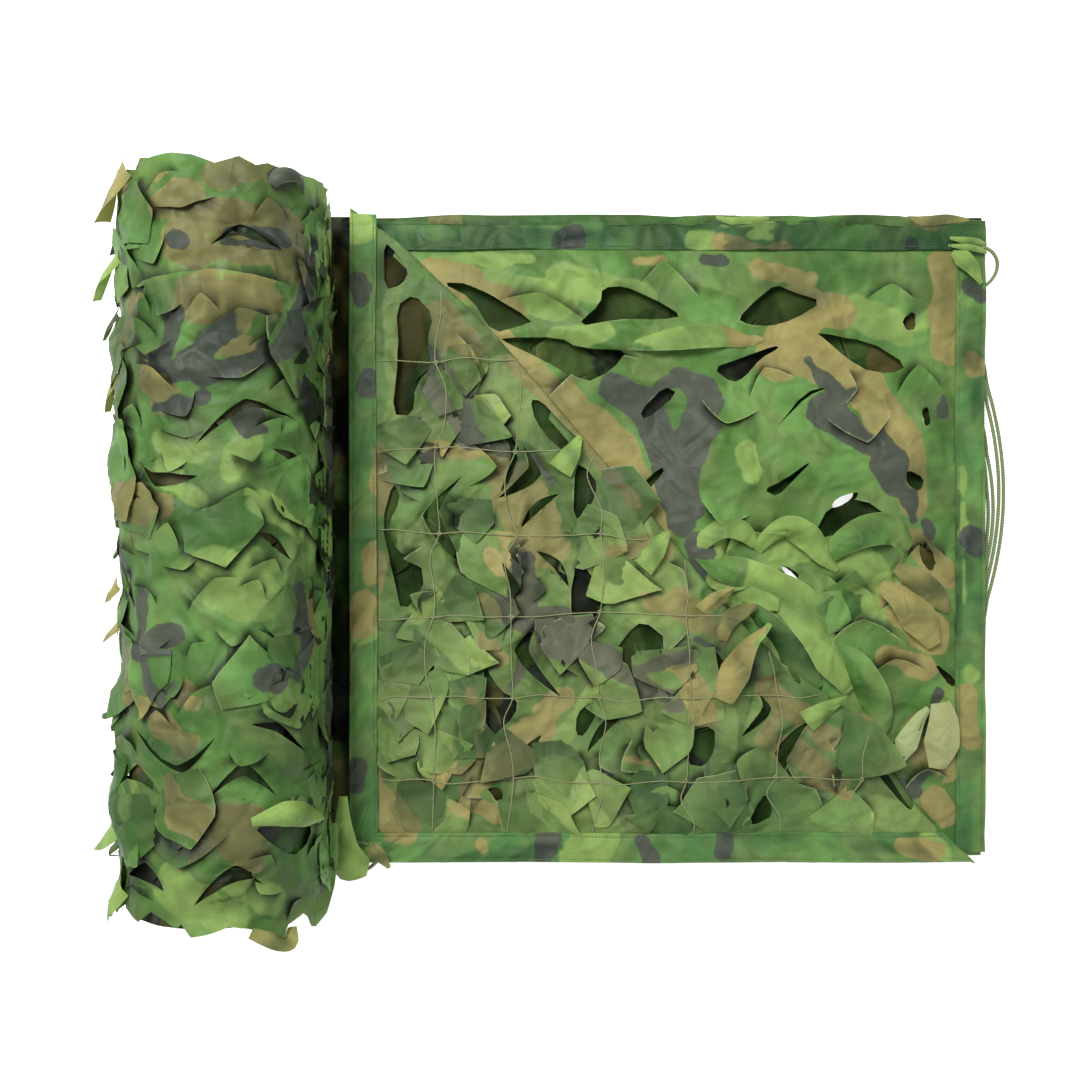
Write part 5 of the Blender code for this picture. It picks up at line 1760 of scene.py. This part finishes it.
def make_roll_lining(sizes, colours):
    """The next turn of the bundle, which shows through the cuts of the outer one."""
    material = printed_cloth(FACE, colours)
    low_y, high_y = ROLL_LOW_Y + 0.006, ROLL_HIGH_Y - 0.006
    near, far = (ROLL_START + 0.02, low_y + 0.02), (ROLL_STOP - 0.02, high_y - 0.02)
    cuts = scattered_cuts(near, far, sizes.cut_pitch, 91, 12.0, 0.003, 0.5)
    outline = box_outline((ROLL_START, low_y), (ROLL_STOP, high_y))
    cloth = Cloth(outline, cuts, [], sizes.coarse_mesh * 0.8, 92)
    rise = 0.0015 * soft_noise(cloth.flat, (0.05, 0.05), 93) + crumple(cloth.flat, 94, 0.0012)
    place = roll_place(ROLL_RADIUS - 0.0075, 0.003)
    fields = random_fields(cloth.print, 95)
    obj = lay_sheet("roll_lining", cloth, rise, place, material, fields, 0.020, LINING_LIGHT)
    make_piece(obj, "garnish_cloth", "net_roll")


def make_roll_core(colours):
    """The turns deep inside the roll, where hardly any light reaches."""
    rows = np.linspace(ROLL_LOW_Y + WOUND_DEPTH, ROLL_HIGH_Y - WOUND_DEPTH, 90)
    around = np.linspace(0, 2 * math.pi, 73)
    y, angle = (grid.ravel() for grid in np.meshgrid(rows, around, indexing="ij"))
    flat = np.column_stack([angle * 0.09, y])
    core = ROLL_RADIUS - 0.018
    radius = core + 0.002 * soft_noise(flat, (0.03, 0.05), 111)
    radius = np.where(np.isclose(angle % (2 * math.pi), 0), core, radius)
    points = np.column_stack([ROLL_X + radius * np.cos(angle), y, ROLL_AXIS_Z + radius * np.sin(angle)])
    faces = swept(len(rows), len(around))
    fields = {**random_fields(flat, 112), "open_air": np.full(len(flat), CORE_LIGHT)}
    obj = add_mesh("roll_core", points, faces, flat, printed_cloth(FACE, colours), fields)
    make_piece(obj, "garnish_cloth", "net_roll")


def make_roll_turns(sizes, colours):
    """The wound edges that show at both ends of the roll, as one long spiral of ragged cloth at each."""
    material = printed_cloth(FACE, colours)
    outer, inner, pitch = ROLL_RADIUS - 0.012, 0.008, 0.0062
    length = math.pi * (outer**2 - inner**2) / pitch
    for name, side, end, seed in (
        ("roll_turns_high", 1, ROLL_HIGH_Y, 101),
        ("roll_turns_low", -1, ROLL_LOW_Y, 102),
    ):
        rng = np.random.default_rng(seed)
        rim, along = [], 0.0
        while along < length:
            rim.append((along, WOUND_DEPTH - rng.uniform(0.0, 0.016)))
            along += rng.uniform(0.010, 0.028)
        outline = [(0.0, 0.0), (length, 0.0), (length, WOUND_DEPTH * 0.85), *rim[::-1]]
        cloth = Cloth(outline, [], [], sizes.coarse_mesh * 0.9, seed)
        flat = cloth.flat
        # Arc length from the middle outwards gives the radius, and the radius the angle
        radius = np.sqrt(inner**2 + flat[:, 0] * pitch / math.pi)
        angle = 2 * math.pi * (radius - inner) / pitch
        radius = radius + 0.0022 * soft_noise(flat, (0.035, 0.03), seed) * clamped(flat[:, 1] / 0.02)
        sag = 1 - 0.05 * clamped(-np.sin(angle)) * radius / outer
        y = end - side * (WOUND_DEPTH - flat[:, 1] + 0.002)
        x, z = ROLL_X + radius * np.cos(angle), ROLL_AXIS_Z + radius * np.sin(angle) * sag
        points = np.column_stack([x, y, z])
        obj = add_mesh(name, points, cloth.faces, flat, material, random_fields(flat, seed + 5))
        make_piece(obj, "garnish_cloth", "net_roll")


# ---------------------------------------------------------------- bindings


# Across a binding: share of the half width, and height in thicknesses. It is folded round the cloth's
# edge at -1
BAND_PROFILE = (
    (-0.55, -2.0), (-0.94, -1.8), (-1.02, -1.0), (-1.02, 0.0), (-0.98, 0.8), (-0.92, 1.0), (-0.84, 0.9),
    (-0.77, 0.45), (-0.70, 0.9), (-0.50, 1.1), (-0.25, 1.2), (0.0, 1.15), (0.25, 1.2), (0.50, 1.1),
    (0.70, 0.9), (0.77, 0.45), (0.84, 0.9), (0.93, 1.0), (1.0, 0.6), (1.0, -0.2),
)
STITCH_LINE = 0.77
BAND_RISE = 0.0012  # a binding's cloth over the layer it lies on
END_TAPE = 0.07  # the end's binding across, before it is doubled


def make_band(name, corners, layer, colours, seed, faded, patches):
    """A sewn binding between four corners, the outer edge first: folded round the cloth's edge, with two
    lines of stitches drawn down into it and puckers along them."""
    length = np.linalg.norm((corners[1] + corners[2] - corners[0] - corners[3]) / 2)
    sides = np.roll(corners, -1, axis=0)
    width = abs(np.sum(corners[:, 0] * sides[:, 1] - corners[:, 1] * sides[:, 0])) / (2 * length)
    columns = max(2, round(length / 0.0034))
    across, rise = np.array(BAND_PROFILE).T
    s, t = np.meshgrid(np.linspace(0, 1, columns + 1), across, indexing="ij")
    lift = np.broadcast_to(rise * TAPE_THICK, s.shape)
    flat = np.column_stack([s.ravel() * length, t.ravel() * width / 2])
    place = on_band(corners, s.ravel()[:, None], (t.ravel()[:, None] + 1) / 2)
    seam = np.exp(-(((np.abs(flat[:, 1]) / (width / 2) - 0.78) / 0.10) ** 2))
    ends = clamped(np.minimum(flat[:, 0], length - flat[:, 0]) / 0.02)
    wander = 0.0012 * soft_noise(flat * (1, 0), 0.07, seed) * ends
    place = place + wander[:, None] * unit(corners[3:] - corners[:1])
    pucker = 0.0007 * soft_noise(flat, (0.008, 0.02), seed + 1) * (0.4 + 0.8 * seam)
    slack = 0.0010 * (1 + soft_noise(flat, (0.05, 0.015), seed + 2))
    top = np.broadcast_to(rise > 0.3, s.shape).ravel()
    z = layer_height(layer, *place.T) + BAND_RISE + lift.ravel() + np.where(top, pucker + slack, 0.0)
    points = np.column_stack([place, z])
    kinds = zip(("dark", "tan", "pale"), patches)
    fields = {kind: blotch_field(place, rows, seed + 6) for kind, rows in kinds}
    fields["tone_and_shading"] = faded + 0.75 * soft_noise(flat, (0.05, 0.012), seed + 7)
    fields["tone_and_shading"] += 0.40 * soft_noise(flat, (0.012, 0.02), seed + 8) + 0.9 * (fields["pale"] > 0)
    material = printed_cloth(BINDING, colours, band=True)
    obj = add_mesh(name, points, swept(columns + 1, len(across)), flat, material, fields)
    seam_at = np.linspace(0, 1, max(2, round(length / 0.003)))[:, None]
    stitch_lines = []
    for side in (-STITCH_LINE, STITCH_LINE):
        place = on_band(corners, seam_at, (side + 1) / 2)
        z = layer_height(layer, *place.T) + BAND_RISE + 1.9 * TAPE_THICK
        stitch_lines.append(np.column_stack([place, z]))
    return obj, (length, width), stitch_lines


def on_band(corners, along, share):
    """Places on a binding, at shares of its length and of its width from its outer edge."""
    outer = corners[0] + (corners[1] - corners[0]) * along
    inner = corners[3] + (corners[2] - corners[3]) * along
    return outer + (inner - outer) * share


# Each binding: its name and node, its corners with the outer edge first, the layer it lies on, how faded
# it is, and its dark, tan and pale patches
BANDS = (
    (
        "top_binding", "tape_top", ((474, 372.5), (-290, 372.5), (-290, 339), (474, 339)), THIRD, -0.75,
        ((-3, 350, 10, 350, 13.5), (390, 346, 390, 342, 9)),
        ((175, 348, 192, 344, 9), (205, 342, 245, 341, 6), (395, 371, 415, 369, 6)),
        ((145, 352, 165, 346, 10), (210, 356, 226, 352, 7), (180, 368, 230, 368, 4)),
    ),
    (
        "right_binding", "tape_right", ((474, -343), (474, 338), (440.5, 338), (440.5, -343)), THIRD, 0.42,
        ((453, 300, 468, 288, 10), (460, 12, 458, 6, 14)),
        ((458, 217, 462, 207, 9), (455, -165, 456, -215, 13)),
        ((455, -140, 460, -145, 9), (462, -205, 446, -207, 6), (448, 90, 449, -60, 3)),
    ),
    (
        "corner_left_binding", "tape_flap_left",
        ((-244, -350), (-244, 375.5), (-214, 374.5), (-211.8, -317)), FLAP, 0.72,
        ((-234, 300, -230, 278, 11), (-221, 193, -222, 182, 12), (-234, -240, -235, -262, 8)),
        ((-216, 0, -220, -30, 9), (-228, -60, -230, -85, 13), (-216, 110, -214, 70, 6)),
        ((-237, 372, -236, 350, 14), (-224, 366, -222, 352, 7), (-220, -96, -232, -102, 7)),
    ),
    (
        "corner_low_binding", "tape_flap_bottom",
        ((452.6, -350), (-244, -350), (-211.8, -316.5), (420.6, -316.5)), FLAP, 0.52,
        ((-22, -321, -28, -345, 11), (82, -325, 92, -345, 11), (173, -320, 172, -336, 11)),
        ((-98, -330, -94, -337, 7), (372, -330, 410, -340, 11), (-200, -322, -180, -320, 6)),
        ((22, -320, 6, -346, 14), (44, -320, 32, -346, 14), (402, -322, 425, -345, 7),
            (-215, -335, -232, -340, 10)),
    ),
)


def make_bindings(sizes, colours):
    thread = []
    for n, (name, node, corners, layer, faded, *patches) in enumerate(BANDS):
        corners, patches, seed = np.array(metres(corners)), metres(patches), 201 + 10 * n
        obj, (length, width), lines = make_band(name, corners, layer, colours, seed, faded, patches)
        make_piece(obj, "binding", node)
        thread += lines
    make_end_binding(colours)
    make_stitches(thread, sizes)


def make_end_binding(colours):
    """The binding of the two lower layers' end, doubled back on itself at the fold."""
    rows = np.linspace(CORNER_FAR[1], FOLD_HIGH_Y, 214)
    lower, upper = LAYER_Z[FLOOR] + 0.0012, LAYER_Z[SECOND] - 0.0006
    across = (0.4405, 0.458, 0.472, 0.4745, 0.4745, 0.472, 0.458, 0.4405)
    heights = (lower, lower + 0.0003, lower, lower + 0.0006, lower + 0.0022, upper, upper + 0.0003, upper)
    y, x = (grid.ravel() for grid in np.meshgrid(rows, across, indexing="ij"))
    flat = np.column_stack([y, np.tile(np.linspace(0, END_TAPE, len(across)), len(rows))])
    wander = 0.0008 * soft_noise(flat, (0.03, 0.03), 251)
    z = np.maximum(0.0006, np.tile(heights, len(rows)) + 0.5 * wander)
    points = np.column_stack([x + wander, y, z])
    material = printed_cloth(BINDING, colours, band=True)
    fields = {
        "tan": random_field(flat, (0.07, 0.06), 0.5, 252),
        "pale": random_field(flat, (0.06, 0.05), 0.4, 253),
        "dark": random_field(flat, (0.05, 0.05), 0.7, 254),
    }
    obj = add_mesh("end_binding", points, swept(len(rows), len(across)), flat, material, fields)
    make_piece(obj, "binding", "tape_end_lower")


def tube(route, radius, sides):
    """Points, faces and UVs of a round cord along a route, drawn in at its ends."""
    route = np.asarray(route, float)
    ahead = unit(np.gradient(route, axis=0))
    side = unit(np.cross(ahead, (0.0, 0.0, 1.0)))
    up = np.cross(side, ahead)
    size = np.full(len(route), radius)
    size[0] = size[-1] = radius * 0.25
    around = np.arange(sides) / sides * 2 * math.pi
    ring = np.cos(around)[:, None] * side[:, None, :] + np.sin(around)[:, None] * up[:, None, :]
    points = route[:, None, :] + ring * size[:, None, None]
    flat = np.stack(np.broadcast_arrays(run_along(route)[:, None], (around * radius)[None, :]), axis=-1)
    return points.reshape(-1, 3), swept(len(route), sides, True), flat.reshape(-1, 2)


def make_stitches(lines, sizes):
    parts = []
    lift = np.array([0.0, 0.0, 0.00025])
    for line in lines:
        stations = resampled(line, sizes.stitch_pitch)
        for a, b in zip(stations, stations[1:]):
            route = [a, a * 0.75 + b * 0.25 + lift, a * 0.4 + b * 0.6 + lift, a * 0.2 + b * 0.8]
            parts.append(tube(route, 0.00038, 5))
    points, faces, flat = joined(parts)
    material = cord_material("Polyester sewing thread", linear("#5c7a4c"), 0.8 * MM, 0.2)
    obj = add_mesh("stitches", points, faces, flat, material)
    make_piece(obj, "binding")


# ---------------------------------------------------------------- cords


LOOP_TOP = metres((
    (430, 343, 18.5), (448, 344, 18.6), (464, 343, 18.7), (478, 338.5, 18.5), (486.5, 329, 16.5),
    (488, 318, 14), (484, 308, 12), (477, 301, 10.6), (469, 298, 10.6),
))
LOOP_LOW = metres((
    (-204, -337, 36), (-213, -348, 35.6), (-225, -357, 35), (-239, -358, 34.4), (-249, -350, 34.1),
    (-251, -339, 34.1), (-244, -329, 34.6), (-233, -326, 35.2), (-222, -329, 35.9),
))
# How far each loose strand of the end's cord bulges out, and between which places
SIDE_STRANDS = metres(((27, 233, -110), (21.5, 216, -92), (15, 160, -70), (9.5, 128, -50)))
STRAND_Z = 0.0107  # where they come out from between the layers


def strand_route(bulge, high, low):
    """A loose strand of the edge cord: out from between the layers, down onto the floor, and back in."""
    share = np.linspace(0.0, 1.0, 60)
    out = np.sin(math.pi * np.minimum(1.0, share * 1.02)) ** 0.8
    x = END_X - 0.010 + (bulge + 0.010) * out
    y = high + (low - high) * share
    clear = clamped((x - END_X - 0.001) / 0.007)
    return np.column_stack([x, y, STRAND_Z + (CORD_RADIUS + 0.0002 - STRAND_Z) * clear])


def lay_cord(name, node, route, material):
    points, faces, flat = tube(route, CORD_RADIUS, 10)
    obj = add_mesh(name, points, faces, flat, material)
    make_piece(obj, "cord", node)
    length = float(run_along(route)[-1])


def make_cords(colours):
    material = cord_material("Braided polyester cord", colours.cord, 3.2 * MM, 0.6)
    for n, strand in enumerate(SIDE_STRANDS, 1):
        route = resampled(strand_route(*strand), 0.003)
        lay_cord(f"side_strand_{n}_cord", f"side_strand_{n}", route, material)
    for name, node, corners in (
        ("top_corner_cord", "corner_loop_top", LOOP_TOP),
        ("low_corner_cord", "corner_loop_low", LOOP_LOW),
    ):
        lay_cord(name, node, resampled(smooth_route(corners, 0.003), 0.002), material)


# ---------------------------------------------------------------- twine


# The carrying twine's net where it shows on the turned corner: its columns and rows
TWINE_COLUMNS = metres((-147, -61, 36, 134, 231, 328))
TWINE_ROWS = metres((211, 111, 16, -73, -164, -257))


def make_twine(sizes, colours):
    """Thin twine in squares over the turned corner, tied to the cloth where it crosses, slack between."""
    trees = []
    for name in ("turned_corner", "turned_corner_leaves"):
        cloth = bpy.data.objects[name].data
        points, faces = [v.co for v in cloth.vertices], [p.vertices for p in cloth.polygons]
        trees.append(BVHTree.FromPolygons(points, faces))
    rng = np.random.default_rng(301)

    def height_at(x, y):
        hits = [tree.ray_cast(Vector((x, y, 0.2)), Vector((0, 0, -1)))[0] for tree in trees]
        return max((hit.z for hit in hits if hit), default=0.030)

    knots = {}
    for i, x in enumerate(TWINE_COLUMNS):
        for j, y in enumerate(TWINE_ROWS):
            knots[i, j] = (x + rng.uniform(-0.004, 0.004), y + rng.uniform(-0.003, 0.003))
    runs = []
    for j, y in enumerate(TWINE_ROWS):
        start = (-0.213, y + rng.uniform(-0.006, 0.006))
        runs.append(([start, *[knots[i, j] for i in range(len(TWINE_COLUMNS))]], 0.005))
    for i, x in enumerate(TWINE_COLUMNS):
        ends = [knots[i, j] for j in range(len(TWINE_ROWS))] + [(x + rng.uniform(-0.01, 0.01), -0.317)]
        runs.append(([(x + 0.004, TWINE_ROWS[0] + 0.08), *ends], 0.012))
    parts = []
    for ends, slack in runs:
        corners = []
        for (ax, ay), (bx, by) in zip(ends, ends[1:]):
            length = math.hypot(bx - ax, by - ay)
            side = ((ay - by) / length, (bx - ax) / length)
            corners.append((ax, ay, 0.0))
            swing = rng.uniform(-slack, slack)
            for share, size in ((0.3, swing), (0.7, swing * rng.uniform(-0.6, 1.0))):
                x, y = ax + (bx - ax) * share + side[0] * size, ay + (by - ay) * share + side[1] * size
                corners.append((x, y, 0.0))
        corners.append((*ends[-1], 0.0))
        route = resampled(smooth_route(corners, 0.004), 0.003)
        on_cloth = (route[:, 0] > -0.214) & (route[:, 1] > -0.319)
        route = route[on_cloth & (past_crease(route[:, :2]) < 0.003)]
        if len(route) < 6:
            continue
        low = np.array([height_at(x, y) for x, y, _ in route]) + sizes.twine_radius * 0.8
        # It spans the cloth's hollows and lies on its ridges
        level = low.copy()
        for _ in range(40):
            level[1:-1] = np.maximum(low[1:-1], (level[:-2] + level[2:]) / 2 - 0.00002)
        route[:, 2] = level
        parts.append(tube(route, sizes.twine_radius, 6))
    for x, y in knots.values():
        if past_crease(np.array([[x, y]]))[0] > -0.006:
            continue
        angle = np.linspace(0, 4.2 * math.pi, 24)
        z = height_at(x, y) + 0.0016
        loop = (x + 0.0021 * np.cos(angle), y + 0.0021 * np.sin(angle), z + 0.0007 * np.sin(angle * 1.5))
        parts.append(tube(np.column_stack(loop), sizes.twine_radius, 6))
    points, faces, flat = joined(parts)
    material = cord_material("Twisted nylon twine", colours.twine, 2.4 * MM, 0.5)
    obj = add_mesh("carrying_twine", points, faces, flat, material)
    make_piece(obj, "cord")


# ---------------------------------------------------------------- stage


def area_light(name, place, size, energy, colour):
    light = bpy.data.lights.new(name, "AREA")
    light.size = size
    light.energy = energy
    light.color = colour
    obj = bpy.data.objects.new(name, light)
    obj.location = place
    obj.rotation_euler = (Vector((0, 0, 0)) - Vector(place)).to_track_quat("-Z", "Y").to_euler()
    bpy.context.scene.collection.objects.link(obj)


def make_stage(colours):
    """White card, a broad soft light from the upper left, and the camera straight above."""
    bpy.ops.mesh.primitive_plane_add(size=7.0, location=(0.0, 0.0, -0.0002))
    floor = bpy.context.object
    floor.name = "white_card"
    floor.data.materials.append(floor_material(colours.floor))
    area_light("key_light", (-0.85, 1.1, 2.2), 1.0, 66.0, (1.0, 0.99, 0.97))
    area_light("fill_light", (1.6, -1.0, 2.0), 2.6, 16.0, (0.96, 0.98, 1.0))
    world = bpy.data.worlds.new("white_room")
    world.use_nodes = True
    background = world.node_tree.nodes["Background"]
    background.inputs["Color"].default_value = (1.0, 1.0, 1.0, 1.0)
    background.inputs["Strength"].default_value = 0.34
    bpy.context.scene.world = world
    camera = bpy.data.cameras.new("camera")
    camera.angle = 2 * math.atan(0.54)
    camera.clip_end = 20.0
    obj = bpy.data.objects.new("camera", camera)
    obj.location = (-0.031, 0.0105, 1.15)
    bpy.context.scene.collection.objects.link(obj)
    bpy.context.scene.camera = obj
    bpy.context.scene.view_settings.view_transform = "Standard"


# ---------------------------------------------------------------- operators


class NetOperator:
    """What the operators share: each makes its pieces with the scene's sizes and colours."""

    def execute(self, context):
        self.make(context.scene.net_sizes, context.scene.net_colours)
        return {"FINISHED"}


class NET_OT_stage(NetOperator, bpy.types.Operator):
    """Make the white card, the lights and the camera"""

    bl_idname = "net.make_stage"
    bl_label = "Stage"

    def make(self, sizes, colours):
        make_stage(colours)


class NET_OT_cords(NetOperator, bpy.types.Operator):
    """Make the loose cords of the end and the corners"""

    bl_idname = "net.make_cords"
    bl_label = "Cords"

    def make(self, sizes, colours):
        make_cords(colours)


class NET_OT_roll(NetOperator, bpy.types.Operator):
    """Make the roll: its outer cloth, the turn beneath it and the wound ends"""

    bl_idname = "net.make_roll"
    bl_label = "Roll"

    def make(self, sizes, colours):
        make_roll_skin(sizes, colours)
        make_roll_lining(sizes, colours)
        make_roll_core(colours)
        make_roll_turns(sizes, colours)


class NET_OT_layers(NetOperator, bpy.types.Operator):
    """Make the folded layers, the lowest first"""

    bl_idname = "net.make_layers"
    bl_label = "Folded layers"

    def make(self, sizes, colours):
        make_lower_layers(sizes, colours)
        make_third_layer(sizes, colours)
        make_top_layer(sizes, colours)


class NET_OT_corner(NetOperator, bpy.types.Operator):
    """Make the turned corner, which shows the back of its cloth"""

    bl_idname = "net.make_corner"
    bl_label = "Turned corner"

    def make(self, sizes, colours):
        make_flap(sizes, colours)


class NET_OT_bindings(NetOperator, bpy.types.Operator):
    """Make the sewn bindings and their stitches"""

    bl_idname = "net.make_bindings"
    bl_label = "Bindings"

    def make(self, sizes, colours):
        make_bindings(sizes, colours)


class NET_OT_twine(NetOperator, bpy.types.Operator):
    """Lay the carrying twine over the turned corner"""

    bl_idname = "net.make_twine"
    bl_label = "Carrying twine"

    def make(self, sizes, colours):
        make_twine(sizes, colours)


OPERATORS = (
    NET_OT_stage,
    NET_OT_cords,
    NET_OT_roll,
    NET_OT_layers,
    NET_OT_corner,
    NET_OT_bindings,
    NET_OT_twine,
)


class NET_PT_make(bpy.types.Panel):
    """The net's pieces, in the order they are made"""

    bl_idname = "NET_PT_make"
    bl_label = "Camouflage net"
    bl_space_type = "VIEW_3D"
    bl_region_type = "UI"
    bl_category = "Net"

    def draw(self, context):
        for group in (context.scene.net_sizes, context.scene.net_colours):
            column = self.layout.column()
            for key in group.__annotations__:
                column.prop(group, key)
        for operator in OPERATORS:
            self.layout.operator(operator.bl_idname)


CLASSES = (NetSizes, NetColours, *OPERATORS, NET_PT_make)


def register():
    for cls in CLASSES:
        bpy.utils.register_class(cls)
    bpy.types.Scene.net_sizes = bpy.props.PointerProperty(type=NetSizes)
    bpy.types.Scene.net_colours = bpy.props.PointerProperty(type=NetColours)


def unregister():
    del bpy.types.Scene.net_colours
    del bpy.types.Scene.net_sizes
    for cls in reversed(CLASSES):
        bpy.utils.unregister_class(cls)


def main():
    register()
    for cls in OPERATORS:
        group, name = cls.bl_idname.split(".")
        getattr(getattr(bpy.ops, group), name)()


if __name__ == "__main__":
    main()
